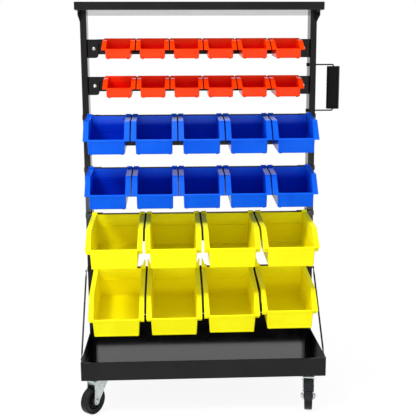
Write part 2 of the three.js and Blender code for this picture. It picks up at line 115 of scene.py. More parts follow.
def dress(tree, shader, look, tint, wear, height):
    # colour between two tones, roughness between two values, and relief, each from its own pattern
    ramp = addNode(tree, "ShaderNodeValToRGB", links={"Fac": tint})
    tones = zip(ramp.color_ramp.elements, look["span"], (look["dark"], look["light"]))
    for element, position, hexCode in tones:
        element.position = position
        element.color = colour(hexCode)
    smooth, rough = look["roughness"]
    gloss = addNode(tree, "ShaderNodeMapRange", {"To Min": smooth, "To Max": rough}, {"Value": wear})
    bump = addNode(tree, "ShaderNodeBump", {"Strength": look["relief"], "Distance": look["depth"] * mm},
                   {"Height": height})
    tree.links.new(ramp.outputs["Color"], shader.inputs["Base Color"])
    tree.links.new(gloss.outputs["Result"], shader.inputs["Roughness"])
    tree.links.new(bump.outputs["Normal"], shader.inputs["Normal"])
    return ramp.outputs["Color"]


def mottled(name, look):
    # large clouds vary the colour and the gloss, and a fine grain gives the relief
    material, tree, shader, where = newMaterial(name, {
        "IOR": look["ior"], "Specular IOR Level": look["specular"]})
    noises = [addNode(tree, "ShaderNodeTexNoise", {"Scale": perMetre(size), "Detail": detail},
                      {"Vector": where}) for size, detail in (look["cloud"], look["grain"])]
    cloud, grain = (noise.outputs["Fac"] for noise in noises)
    dress(tree, shader, look, cloud, cloud, grain)
    return material


# Each pattern below is the size of one feature in millimetres and its detail

# Gloss powder coat on sheet steel: baked on as a thick skin, so it is smooth and nearly black face on, and
# mirrors the room at a low angle, with a faint orange peel. Real peel is 1 to 2 mm across, drawn coarser here
# so that it shows
powderCoat = {
    "dark": "#0b0a0c", "light": "#131215", "span": (0.35, 0.65), "ior": 1.5, "specular": 0.24,
    "roughness": (0.1, 0.18), "cloud": (90.0, 3.0), "grain": (5.0, 1.0), "relief": 0.35, "depth": 0.006,
}

# Thermoplastic rubber moulded on the wheel: black and smooth enough to shine softly along its shoulder, with
# fine open pores
wheelRubber = {
    "dark": "#09090a", "light": "#121214", "span": (0.35, 0.65), "ior": 1.52, "specular": 0.2,
    "roughness": (0.34, 0.46), "cloud": (14.0, 5.0), "grain": (1.2, 3.0), "relief": 0.4, "depth": 0.04,
}

# Moulded nylon and vinyl with a fine spark-eroded grain: matt, and paler along the flow of the melt
mouldedLook = {
    "span": (0.35, 0.65), "ior": 1.53, "cloud": (18.0, 4.0), "grain": (0.9, 2.0), "relief": 0.5,
    "depth": 0.03,
}
hubNylon = mouldedLook | {"dark": "#141416", "light": "#1d1d20", "roughness": (0.4, 0.5), "specular": 0.2}
pedalNylon = mouldedLook | {"dark": "#0c1014", "light": "#151b20", "roughness": (0.36, 0.48), "specular": 0.2}
gripVinyl = mouldedLook | {"dark": "#060608", "light": "#0c0c0e", "roughness": (0.3, 0.4), "specular": 0.08}

# Injection-moulded polypropylene: full flat colour with a smooth, waxy skin from the mould, a shade deeper
# and lighter where the melt flowed. Face on it shows its own colour, and at a low angle its level edges shine
# white. Inside a bin the colour is painted darker and deeper with depth under the rim: this is painted shade
# for the little light that gets into the hollow
plasticLook = {
    "span": (0.35, 0.65), "flow": 70.0, "flowDetail": 4.0, "flowBend": 0.6, "flowStretch": (1.0, 0.45, 1.0),
    "grain": 1.6, "grainDetail": 2.0, "relief": 0.25, "depth": 0.006, "ior": 1.49, "specular": 0.08,
    "hollow": (0.03, 0.34),
}
# the third colour of each plastic is painted shade: the darker tone that the inside of a bin is given with
# depth
redPlastic = plasticLook | {"dark": "#fb3a05", "light": "#ff4207", "deepShade": "#f01402",
                            "roughness": (0.16, 0.26)}
bluePlastic = plasticLook | {"dark": "#0457e3", "light": "#0960eb", "deepShade": "#0236ce",
                             "roughness": (0.16, 0.26)}
yellowPlastic = plasticLook | {"dark": "#fbf20f", "light": "#fff918", "deepShade": "#fff206",
                               "roughness": (0.4, 0.52)}


def polypropylene(name, look):
    material, tree, shader, where = newMaterial(name, {
        "IOR": look["ior"], "Specular IOR Level": look["specular"]})
    stretch = addNode(tree, "ShaderNodeMapping", {"Scale": look["flowStretch"]}, {"Vector": where})
    flow = addNode(tree, "ShaderNodeTexNoise", {
        "Scale": perMetre(look["flow"]), "Detail": look["flowDetail"], "Distortion": look["flowBend"]},
        {"Vector": stretch.outputs["Vector"]}).outputs["Fac"]
    grain = addNode(tree, "ShaderNodeTexNoise", {
        "Scale": perMetre(look["grain"]), "Detail": look["grainDetail"]}, {"Vector": where}).outputs["Fac"]
    skin = dress(tree, shader, look, flow, flow, grain)
    # painted shade: with depth under the rim inside the bin, read from the hollow attribute, the colour is
    # mixed toward the darker third colour
    depth = addNode(tree, "ShaderNodeAttribute", {"attribute_name": "hollow"}).outputs["Fac"]
    shallow, deepShade = look["hollow"]
    share = addNode(tree, "ShaderNodeMapRange", {"From Min": shallow, "From Max": deepShade}, {"Value": depth})
    paintedShadeMix = addNode(tree, "ShaderNodeMix", {"data_type": "RGBA", 7: colour(look["deepShade"])},
                       {0: share.outputs["Result"], 6: skin})
    tree.links.new(paintedShadeMix.outputs[2], shader.inputs["Base Color"])
    return material


# Bright zinc plate on pressed steel: thin and slightly uneven, so it shows a cool grey sheen with faint
# crystal patches and fine drawing marks from the press
zincLook = {
    "dark": "#a9b3b1", "light": "#d3dad8", "span": (0.4, 0.8), "roughness": (0.24, 0.42), "patch": 7.0,
    "patchShare": 0.35, "cloud": 25.0, "cloudDetail": 4.0, "mark": 0.8, "markDetail": 2.0,
    "markStretch": (1.0, 1.0, 0.08), "relief": 0.2, "depth": 0.01,
}


def zincPlate(name, look):
    material, tree, shader, where = newMaterial(name, {"Metallic": 1.0})
    patch = addNode(tree, "ShaderNodeTexVoronoi", {"Scale": perMetre(look["patch"])}, {"Vector": where})
    cloud = addNode(tree, "ShaderNodeTexNoise", {
        "Scale": perMetre(look["cloud"]), "Detail": look["cloudDetail"]}, {"Vector": where})
    both = addNode(tree, "ShaderNodeMath", {"operation": "MULTIPLY_ADD", 1: look["patchShare"]},
                   {0: patch.outputs["Distance"], 2: cloud.outputs["Fac"]})
    drawn = addNode(tree, "ShaderNodeMapping", {"Scale": look["markStretch"]}, {"Vector": where})
    marks = addNode(tree, "ShaderNodeTexNoise", {
        "Scale": perMetre(look["mark"]), "Detail": look["markDetail"]}, {"Vector": drawn.outputs["Vector"]})
    dress(tree, shader, look, both.outputs["Value"], marks.outputs["Fac"], marks.outputs["Fac"])
    return material


finishes = {
    "black_paint": mottled("glossBlackPowderCoat", powderCoat),
    "zinc_plate": zincPlate("brightZincPlate", zincLook),
    "red_plastic": polypropylene("redPolypropylene", redPlastic),
    "blue_plastic": polypropylene("bluePolypropylene", bluePlastic),
    "yellow_plastic": polypropylene("yellowPolypropylene", yellowPlastic),
    "grey_rubber": mottled("blackThermoplasticRubber", wheelRubber),
    "hub_nylon": mottled("blackHubNylon", hubNylon),
    "pedal_plastic": mottled("slateBlueNylon", pedalNylon),
    "grip_plastic": mottled("blackGripVinyl", gripVinyl),
}
print("materials made:", len(finishes))


# Mesh helpers, all in millimetres

def settle(piece):  # turns what the modifiers make into the piece's own mesh
    graph = bpy.context.evaluated_depsgraph_get()
    made = bpy.data.meshes.new_from_object(piece.evaluated_get(graph))
    piece.modifiers.clear()
    piece.data = made
    return piece


def fromMesh(bm, name):
    mesh = bpy.data.meshes.new(name)
    bm.to_mesh(mesh)
    bm.free()
    return placed(name, mesh)


def standing(bm):
    bmesh.ops.recalc_face_normals(bm, faces=bm.faces)
    return fromMesh(bm, "shape")


def softened(bm, width, steps, pick=None):
    edges = [edge for edge in bm.edges if pick is None or pick(edge)]
    if edges and width > 0:
        bmesh.ops.bevel(bm, geom=edges, offset=width, segments=steps, profile=0.5, affect="EDGES",
                        clamp_overlap=True)
    return bm


def along(edge, axis):
    run = edge.verts[1].co - edge.verts[0].co
    return abs(run["xyz".index(axis)]) > steep * run.length


def lowest(edge):
    return min(vertex.co.z for vertex in edge.verts)


def blockMesh(low, high):
    bm = bmesh.new()
    bmesh.ops.create_cube(bm, size=1.0)
    middle = (Vector(low) + Vector(high)) / 2
    size = Vector(high) - Vector(low)
    for vertex in bm.verts:
        vertex.co = Vector(c * s for c, s in zip(vertex.co, size)) + middle
    return bm


def block(low, high):
    return standing(blockMesh(low, high))


def tubeMesh(sections):
    # a closed skin over a row of rings with as many points each
    bm = bmesh.new()
    rings = [[bm.verts.new(point) for point in section] for section in sections]
    bm.faces.new(rings[0])
    bm.faces.new(rings[-1])
    for near, far in zip(rings, rings[1:]):
        for i in range(len(near)):
            j = (i + 1) % len(near)
            bm.faces.new((near[i], near[j], far[j], far[i]))
    return bm


def prismMesh(outline, start, end, axis):
    # an outline in the two other axes, in XYZ order, run along axis
    order = {"x": (2, 0, 1), "y": (0, 2, 1), "z": (0, 1, 2)}[axis]
    return tubeMesh([[[(u, v, w)[i] for i in order] for u, v in outline] for w in (start, end)])


def prism(outline, start, end, axis):
    return standing(prismMesh(outline, start, end, axis))


def softPrism(outline, ends, axis, width, steps, pick):
    return standing(softened(prismMesh(outline, *ends, axis), width, steps, pick))


straightAngle = 175.0  # a corner that is flatter than this stays as it is
runShare = 0.49  # most of a side that one rounding may take


def filleted(points, radius, steps=4):
    # rounds every corner of an outline, with one radius or one for each point
    radii = radius if isinstance(radius, (list, tuple)) else [radius] * len(points)
    rounded = []
    for i, (point, reach) in enumerate(zip(points, radii)):
        here = Vector(point)
        before = Vector(points[i - 1]) - here
        after = Vector(points[(i + 1) % len(points)]) - here
        angle = before.angle(after)
        if reach <= 0 or angle > math.radians(straightAngle):
            rounded.append(tuple(here))
            continue
        cut = min(reach / math.tan(angle / 2), before.length * runShare, after.length * runShare)
        real = cut * math.tan(angle / 2)
        middle = here + (before.normalized() + after.normalized()).normalized() * real / math.sin(angle / 2)
        first = here + before.normalized() * cut - middle
        last = here + after.normalized() * cut - middle
        sweep = first.angle_signed(last)
        for step in range(steps + 1):
            rounded.append(tuple(middle + Matrix.Rotation(-sweep * step / steps, 2) @ first))
    return rounded


def bentStrip(path, thickness, radius, steps=4):
    # outline of a folded sheet whose middle line follows the path, rounded at its bends
    def side(offset):
        points = []
        for i, point in enumerate(path):
            here = Vector(point)
            runs = []
            if i > 0:
                runs.append((here - Vector(path[i - 1])).normalized())
            if i < len(path) - 1:
                runs.append((Vector(path[i + 1]) - here).normalized())
            normals = [Vector((-run.y, run.x)) for run in runs]
            mitre = sum(normals, Vector((0, 0))).normalized()
            points.append(tuple(here + mitre * offset / mitre.dot(normals[0])))
        return points
    left, right = side(thickness / 2), side(-thickness / 2)
    outline = left + right[::-1]
    radii = []
    for sign in (1, -1):
        for i in range(len(path)):
            if i in (0, len(path) - 1):
                radii.append(0)
                continue
            run = Vector(path[i]) - Vector(path[i - 1])
            following = Vector(path[i + 1]) - Vector(path[i])
            turnsLeft = run.x * following.y - run.y * following.x > 0
            inner = turnsLeft == (sign > 0)
            radii.append(radius if inner else radius + thickness)
    return filleted(outline, radii[:len(path)] + radii[len(path):][::-1], steps)


def lathe(profile, axis, at, sides=48):
    # a closed profile of radius and height turned about an axis through a point
    bm = bmesh.new()
    rings = []
    for k in range(sides):
        angle = 2 * math.pi * k / sides
        ring = []
        for radius, height in profile:
            u, v = radius * math.cos(angle), radius * math.sin(angle)
            spot = {"x": (height, u, v), "y": (v, height, u), "z": (u, v, height)}[axis]
            ring.append(bm.verts.new(Vector(spot) + Vector(at)))
        rings.append(ring)
    for k in range(sides):
        for i in range(len(profile)):
            j = (i + 1) % len(profile)
            bm.faces.new((rings[k][i], rings[k][j], rings[(k + 1) % sides][j], rings[(k + 1) % sides][i]))
    bmesh.ops.remove_doubles(bm, verts=bm.verts, dist=samePoint)
    bmesh.ops.dissolve_degenerate(bm, edges=bm.edges, dist=samePoint)
    return standing(bm)


def shaft(radius, start, end, axis, at, sides=24):
    return lathe([(0, start), (radius, start), (radius, end), (0, end)], axis, at, sides)


def stud(radius, start, end, chamfer, axis, at, sides):
    # a shaft whose far end is chamfered, by so much inward and so much back
    inward, back = chamfer
    shoulder = end - math.copysign(back, end - start)
    profile = [(0, start), (radius, start), (radius, shoulder), (radius - inward, end), (0, end)]
    return lathe(profile, axis, at, sides)


def rod(points, section):
    # a ring of section points, carried square along a path
    sections = []
    side = None
    for i, point in enumerate(points):
        here = Vector(point)
        ahead = (Vector(points[min(i + 1, len(points) - 1)]) - Vector(points[max(i - 1, 0)])).normalized()
        if side is None:
            mostlyY = abs(ahead.y) > steep
            side = (ahead.orthogonal() if mostlyY else ahead.cross(Vector((0, 1, 0)))).normalized()
        side = (side - ahead * side.dot(ahead)).normalized()
        up = side.cross(ahead)
        shape = section(i) if callable(section) else section
        sections.append([here + side * u + up * v for u, v in shape])
    return standing(tubeMesh(sections))


def arcAt(x, y, radius, angles):
    return [(x + radius * math.cos(a), y + radius * math.sin(a)) for a in angles]


def circle(diameter, sides=24):
    return arcAt(0, 0, diameter / 2, [2 * math.pi * k / sides for k in range(sides)])


def rectangle(low, high):
    return [(low[0], low[1]), (high[0], low[1]), (high[0], high[1]), (low[0], high[1])]


def offsets(steps, x, y):
    return [(x + across, y + up) for across, up in steps]


def mirrored(near):  # adds the far half of a lathe's outline that is the same on both sides
    return near + [(radius, -height) for radius, height in reversed(near)]


def arcBetween(path, radius, steps=6):
    # a path of 3D points with its corners turned to arcs
    points = [Vector(path[0])]
    for before, here, after in zip(path, path[1:], path[2:]):
        here = Vector(here)
        arm1, arm2 = (Vector(before) - here).normalized(), (Vector(after) - here).normalized()
        start, finish = here + arm1 * radius, here + arm2 * radius
        for step in range(steps + 1):
            t = step / steps
            points.append(start.lerp(here, t).lerp(here.lerp(finish, t), t))
    points.append(Vector(path[-1]))
    return points


def combine(target, others, operation):
    for other in others:
        modifier = target.modifiers.new("combine", "BOOLEAN")
        modifier.operation = operation
        modifier.solver = "MANIFOLD"
        modifier.object = other
    settle(target)
    for other in others:
        bpy.data.objects.remove(other)
    return target


def union(pieces):
    return combine(pieces[0], pieces[1:], "UNION")


def cut(target, others):
    return combine(target, others, "DIFFERENCE")


def moved(piece, matrix):
    piece.data.transform(matrix)
    return piece


def joined(pieces):  # puts separate closed shapes into one mesh
    bm = bmesh.new()
    for piece in pieces:
        bm.from_mesh(piece.data)
        bpy.data.objects.remove(piece)
    return fromMesh(bm, "joined")


merging = {"cuts": 0.01, "flat": 1.0, "edges": 0.002}  # millimetres, but flat is in degrees


def cleaned(piece, merge, flat=0.0):
    # merges close points, dissolves flat joints and takes out slivers without area
    bm = bmesh.new()
    bm.from_mesh(piece.data)
    bmesh.ops.remove_doubles(bm, verts=bm.verts, dist=merge)
    if flat > 0:
        bmesh.ops.dissolve_limit(bm, angle_limit=math.radians(flat), verts=bm.verts, edges=bm.edges)
    bmesh.ops.dissolve_degenerate(bm, edges=bm.edges, dist=merge)
    bm.to_mesh(piece.data)
    bm.free()


def edged(piece, edge, steps=2, angle=32):
    # dissolves what the cuts left, then rounds every sharp edge
    cleaned(piece, merging["cuts"], merging["flat"])
    if edge > 0:
        bevel = piece.modifiers.new("edge", "BEVEL")
        bevel.limit_method = "ANGLE"
        bevel.angle_limit = math.radians(angle)
        bevel.width = edge
        bevel.segments = steps
        bevel.use_clamp_overlap = True
        cleaned(settle(piece), merging["edges"])
    return piece


def smoothed(piece, sharp=42):
    piece.data.shade_smooth()
    piece.data.set_sharp_from_angle(angle=math.radians(sharp))
    weighted = piece.modifiers.new("even", "WEIGHTED_NORMAL")
    weighted.keep_sharp = True
    return settle(piece)


def finishPiece(piece, name, body, slot, nodes=(), finish=None):
    smoothed(piece)
    piece.data.transform(Matrix.Scale(mm, 4))
    piece.data.materials.clear()
    piece.data.materials.append(finishes[finish or slot])
    piece.name = name
    piece.data.name = name
    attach(piece, body)
    if nodes:
        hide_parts(*nodes)
    return piece


# Frame of folded and welded sheet steel
sheet = 1.5
trayLook = {
    "fold": 2.4, "innerFold": 1.0, "hem": 7.0, "hemThickness": 3.6, "hemRounds": (0, 0.8, 1.4, 0),
    "edge": 0.4, "seam": 0.5, "seamFoot": 6.0, "seamHead": 9.0,
}


def pan(node):
    low, high = nodeBox(node)
    outer = softened(blockMesh(low, high), trayLook["fold"], 4,
                     lambda e: lowest(e) < low.z + onPlane or along(e, "z"))
    inner = blockMesh(low + Vector((sheet,) * 3), (high.x - sheet, high.y - sheet, high.z + sheet))
    softened(inner, trayLook["innerFold"], 3, lambda e: lowest(e) < low.z + sheet + onPlane or along(e, "z"))
    return cut(standing(outer), [standing(inner)])


def makeTopTray():
    tray = edged(pan("top_tray"), trayLook["edge"])
    finishPiece(tray, "top_tray_pan", "root", "black_paint", ["top_tray"])


def makeBottomTray():
    look = trayLook
    low, high = nodeBox("bottom_tray")
    tray = pan("bottom_tray")
    thick, hemFoot = look["hemThickness"], high.z - look["hem"]
    hems = []
    for y0, y1 in ((low.y + sheet / 2, low.y + thick), (high.y - thick, high.y - sheet / 2)):
        outline = filleted([(y0, hemFoot), (y1, hemFoot), (y1, high.z), (y0, high.z)], look["hemRounds"], 3)
        hems.append(prism(outline, low.x + sheet / 2, high.x - sheet / 2, "x"))
    tray = union([tray, *hems])
    # the folded ends meet in an open seam at each corner
    seams = []
    gap = look["seam"]
    for x in (low.x + 2 * sheet, high.x - 2 * sheet):
        for y, outward in ((low.y, -1), (high.y, 1)):
            near, far = sorted((y + outward, y - outward * gap))
            seams.append(block((x - gap / 2, near, low.z + look["seamFoot"]),
                               (x + gap / 2, far, high.z - look["seamHead"])))
    tray = edged(cut(tray, seams), look["edge"])
    finishPiece(tray, "bottom_tray_pan", "root", "black_paint", ["bottom_tray"])


postLook = {
    "corner": 3.0, "gussetReach": 45.0, "gussetDrop": 25.0, "gusset": 2.0, "toe": 11.0,
    "toeRounds": (0, 0, 0.8, 1.5), "weld": 2.4, "weldSwellShare": 0.18, "weldPoints": 13, "weldTail": 2.0,
    "weldInset": 0.6, "weldProud": 0.2, "edge": 0.3,
}


def makePost(side):
    look = postLook
    name = "post_left" if side < 0 else "post_right"
    low, high = nodeBox(name)
    corner = look["corner"]
    outline = rectangle((low.x, postFront), (high.x, high.y))
    inner = rectangle((low.x + sheet, postFront + sheet), (high.x - sheet, high.y - sheet))
    tube = cut(prism(filleted(outline, corner), low.z, high.z, "z"),
               [prism(filleted(inner, corner - sheet), low.z - overrun, high.z + overrun, "z")])
    root, tip = postFront + bite, postFront - look["gussetReach"]
    foot = high.z - look["gussetDrop"]
    plate = filleted([(root, foot), (root, high.z), (tip, high.z), (tip, high.z - look["toe"])],
                     look["toeRounds"])
    ends = (low.x, low.x + look["gusset"]) if side < 0 else (high.x - look["gusset"], high.x)
    gusset = prism(plate, *ends, "x")
    weldX = (ends[0] + ends[1]) / 2 - side * look["weldInset"]
    gaps = look["weldPoints"] - 1
    heights = [foot - look["weldTail"] + k * (look["gussetDrop"] + 1) / gaps for k in range(gaps + 1)]
    bead = rod([(weldX, postFront + look["weldProud"], z) for z in heights],
               lambda i: circle(look["weld"] * (1 + look["weldSwellShare"] * (i % 2)), 8))
    whole = union([tube, gusset, bead])
    if side > 0:
        bore = handleLook["rod"] / 2 + handleLook["play"]
        whole = cut(whole, [shaft(bore, low.x - overrun, high.x + overrun, "x", (0, spot.y, spot.z))
                            for spot in handleEnds])
    finishPiece(edged(whole, look["edge"]), f"{name}_tube", "root", "black_paint", [name])


# Rails: each a folded strip whose lip takes the bins' hooks, with an angle bracket at each end
railLook = {
    "sheet": 2.0, "lip": 11.5, "lipLead": 8.5, "webSetback": 13.0, "bend": 1.6, "bracketWidth": 30.0,
    "bracketHeight": 50.0, "bracketSetback": 2.0, "leg": 34.0, "corner": 8.0, "screwInset": 18.5,
    "screwDrop": 25.0, "edge": 0.35, "narrowWeb": 40.0,
}


def makeRail(node):
    look = railLook
    low, high = nodeBox(node)
    webLow, webHigh = nodeBox("red_rail_1")
    thick, width = look["sheet"], look["bracketWidth"]
    lipMiddle = low.y + thick / 2
    webMiddle = webFront + thick / 2
    lipFoot = high.z - look["lip"]
    base = lipFoot - thick / 2
    webFoot = high.z - look["narrowWeb"] if node.startswith("red") else low.z
    section = bentStrip([(lipMiddle, high.z), (lipMiddle, base), (webMiddle, base), (webMiddle, webFoot)],
                        thick, look["bend"])
    strip = prism(section, webLow.x + width, webHigh.x - width, "x")
    web = prism([(webFront, lipFoot), (webFront, webFoot), (webFront + thick, webFoot),
                 (webFront + thick, lipFoot)], webLow.x, webHigh.x, "x")
    parts = [strip, web]
    if low.x < webLow.x:
        # the lip of a wide row runs on in front of the posts
        lipBase = base - thick / 2
        parts.append(prism([(low.y, lipBase), (low.y + thick, lipBase), (low.y + thick, high.z),
                            (low.y, high.z)], low.x, high.x, "x"))
    bracketFoot = high.z - look["bracketHeight"]
    bracketFront = postFront + look["bracketSetback"]
    faceY = bracketFront + thick / 2
    for side, end in ((-1, webLow.x), (1, webHigh.x)):
        near = end - side * width
        legX = end - side * thick / 2
        path = [(near, faceY), (legX, faceY), (legX, bracketFront + look["leg"])]
        angle = prism(bentStrip(path, thick, look["bend"]), bracketFoot, high.z, "z")
        mask = filleted([(near, high.z + 1), (near, bracketFoot), (end + side, bracketFoot),
                         (end + side, high.z + 1)], [0, look["corner"], 0, 0], 6)
        keep = prism(mask, faceY - thick, faceY + look["leg"] + thick, "y")
        parts.append(combine(angle, [keep], "INTERSECT"))
        screws.append((end - side * look["screwInset"], bracketFront, high.z - look["screwDrop"]))
    finishPiece(edged(union(parts), look["edge"]), f"{node}_strip", "root", "black_paint", [node])


# Diagonal braces: round rods flattened to an eye at each end
braceLook = {
    "rod": 5.0, "eye": 9.0, "flat": 2.4, "flatten": 14.0, "taper": 6.0, "seat": 1.2,
    "stationShare": 0.7, "eyeShare": 0.75, "leastWidth": 4.6, "neckWidth": 6.4,
}


def makeBrace(side):
    look = braceLook
    node = "brace_left" if side < 0 else "brace_right"
    low, high = nodeBox(node)
    eye, flat, full = look["eye"] / 2, look["flat"], look["rod"]
    x = nodeBox("bottom_tray")[0 if side < 0 else 1].x + side * (fit + full / 2)
    top = Vector((x, high.y - eye, high.z - eye))
    foot = Vector((x, low.y + eye, low.z + eye))
    run = (foot - top).normalized()
    length = (foot - top).length
    flatEnd = eye + 1
    taperEnd = look["flatten"] + look["taper"]
    middle = eye * look["stationShare"]
    stations = [-eye, -middle, 0, middle, flatEnd, look["flatten"], taperEnd]
    places = stations + [length - s for s in reversed(stations)]

    def section(i):
        inward = min(places[i], length - places[i])
        if inward <= flatEnd:
            across = min(max(-inward, inward * look["eyeShare"]), eye)
            wide, tall = max(2 * math.sqrt(eye * eye - across * across), look["leastWidth"]), flat
        else:
            share = min(max((inward - flatEnd) / (taperEnd - flatEnd), 0), 1)
            wide = look["neckWidth"] + (full - look["neckWidth"]) * share
            tall = flat + (full - flat) * share
        return [(u * tall, v * wide) for u, v in circle(1.0, 20)]
    body = rod([top + run * s for s in places], section)
    for spot in (top, foot):
        sideScrews.append((spot.x + side * (flat / 2 - look["seat"]), spot.y, spot.z, side))
    finishPiece(body, f"{node}_rod", "root", "black_paint", [node])


# Push handle: a thin rod bent to a U, nutted inside the post, with a moulded sleeve on its upright
handleLook = {
    "rod": 4.0, "bend": 4.0, "play": 0.5, "tail": 0.4, "nut": 11.0, "nutThickness": 5.0, "nutEdge": 0.5,
    "collar": 2.0, "collarBite": 0.1, "collarGap": 0.1, "collarThickness": 1.4, "collarRound": 0.4,
}


def makeHandle():
    look = handleLook
    low = nodeBox("handle_rod")[0]
    grip = jointPoint("grip_spin")
    tail = low.x + look["tail"]
    top, bottom = handleEnds[0].z, handleEnds[1].z
    y = handleEnds[0].y
    path = arcBetween([(tail, y, top), (grip.x, y, top), (grip.x, y, bottom), (tail, y, bottom)],
                      look["bend"])
    parts = [rod(path, circle(look["rod"], 20))]
    inside, rim = look["rod"] / 2 - look["collarBite"], look["rod"] / 2 + look["collar"]
    start = nodeBox("post_right")[1].x + look["collarGap"]
    end, rounding = start + look["collarThickness"], look["collarRound"]
    for z in (top, bottom):
        nut = shaft(look["nut"] / 2, low.x, low.x + look["nutThickness"], "x", (0, y, z), 6)
        parts.append(edged(nut, look["nutEdge"]))
        parts.append(lathe([(inside, start), (rim, start), (rim, end - rounding), (rim - rounding, end),
                            (inside, end)], "x", (0, y, z), 28))
    finishPiece(joined(parts), "handle_wire", "root", "black_paint", ["handle_rod"])


gripLook = {
    "width": 35.0, "depth": 24.0, "corner": 8.0, "end": 3.0, "bore": 4.6, "turn": -22.0, "parting": 12.0,
    "partingWidth": 0.8, "ringShare": 1.1, "partingShares": (0.965, 0.955), "edge": 0.25,
}


def makeGrip():
    look = gripLook
    low, high = nodeBox("handle_grip")
    centre = jointPoint("grip_spin")
    x, y = look["width"] / 2, look["depth"] / 2
    outline = filleted(rectangle((-x, -y), (x, y)), look["corner"], 7)
    body = softPrism(outline, (low.z, high.z), "z", look["end"], 4, lambda e: not along(e, "z"))
    bore = prism(circle(look["bore"]), low.z - overrun, high.z + overrun, "z")
    # a fine groove runs round where the two halves of the mould met
    groove = low.z + look["parting"]
    shareX, shareY = look["partingShares"]
    ring = prism([(u * look["ringShare"], v * look["ringShare"]) for u, v in outline], groove,
                 groove + look["partingWidth"], "z")
    core = prism([(u * shareX, v * shareY) for u, v in outline], low.z, high.z, "z")
    body = cut(body, [bore, cut(ring, [core])])
    turn = Matrix.Rotation(math.radians(look["turn"]), 4, "Z")
    moved(body, Matrix.Translation((centre.x, centre.y, 0)) @ turn)
    finishPiece(edged(body, look["edge"], 1, 50), "grip_sleeve", "grip", "grip_plastic", ["handle_grip"])


# Hanging bins. Each is moulded in one shot: a tapered body open at the top, low at the front, a flange along
# its sides with a skirt and ribs under it, hooks that go over the rail's lip, and feet to stand on
binLook = {
    "wall": 2.0, "rim": 2.2, "play": 0.5, "corner": 2.6, "edge": 0.3, "taper": 1.0, "uprightRise": 5.0,
    "open": 30.0, "step": 0.7, "stepDepth": 9.0, "foot": 1.6, "footWidth": 6.0, "footInset": 4.0,
    "footTrim": 0.2, "hook": 2.0, "hookDepth": 8.0, "hookRounds": (0, 0, 0.4, 0.4, 0.6, 0.6, 1.6, 1.2),
    "bandLead": 0.6, "bandRounds": (0, 6, 0.8, 0.8, 6, 0), "bandCorner": 3.0, "skirt": 4.5,
    "skirtThickness": 1.8, "skirtDrop": 0.4, "skirtLead": 1.5, "skirtRise": 0.6,
    "skirtRounds": (0, 6, 0, 0, 0, 6, 0), "ribHalf": 1.1, "ribRoot": 3.0, "ribInset": 0.4, "ridge": 1.0,
    "ridgeHeight": 1.6, "ridgeRounds": (0, 0.4, 0.4, 0), "pip": 1.6, "pipRoot": 0.5, "pipRim": 0.7,
    "pipTip": 0.9, "pipShare": 0.86, "pipRise": 5.0, "lugTip": 3.0, "lugRounds": (0, 0, 0.8, 1.6, 1.0),
    "frame": 5.0, "frameDepth": 0.5, "slack": 0.2, "frontSlack": 0.3,
}
# ribShares says where the ribs stand along the sloping part of the flange
binSizes = {
    "red": {
        "top": 67.5, "bottom": 65.0, "flange": 9.25, "length": 102.0, "height": 46.0, "shoulder": 56.0,
        "frontDrop": 21.0, "belowLip": 1.0, "hookGap": 0.0, "lugs": (0.0, 0.0), "lean": 4.5, "ledge": 20.0,
        "ribShares": (), "insideCorner": 4.5,
    },
    "blue": {
        "top": 98.5, "bottom": 96.0, "flange": 11.5, "length": 138.0, "height": 82.5, "shoulder": 96.0,
        "frontDrop": 44.0, "belowLip": 3.0, "hookGap": 92.0, "lugs": (0.0, 0.0), "lean": 5.5, "ledge": 40.0,
        "rib": 14.0, "ribShares": (0.18, 0.72), "insideCorner": 2.5,
    },
    "yellow": {
        "top": 127.0, "bottom": 118.5, "flange": 10.5, "length": 211.0, "height": 93.5, "shoulder": 156.0,
        "frontDrop": 40.0, "belowLip": 3.0, "hookGap": 119.0, "lugs": (0.0, 22.0), "lean": 14.5,
        "ledge": 34.0, "rib": 26.0, "ribShares": (0.18, 0.72), "insideCorner": 2.5,
    },
}


def taperedMesh(side, width):
    # an outline in Y and Z whose half width depends on its height
    return tubeMesh([[(sign * width(z), y, z) for y, z in side] for sign in (-1, 1)])


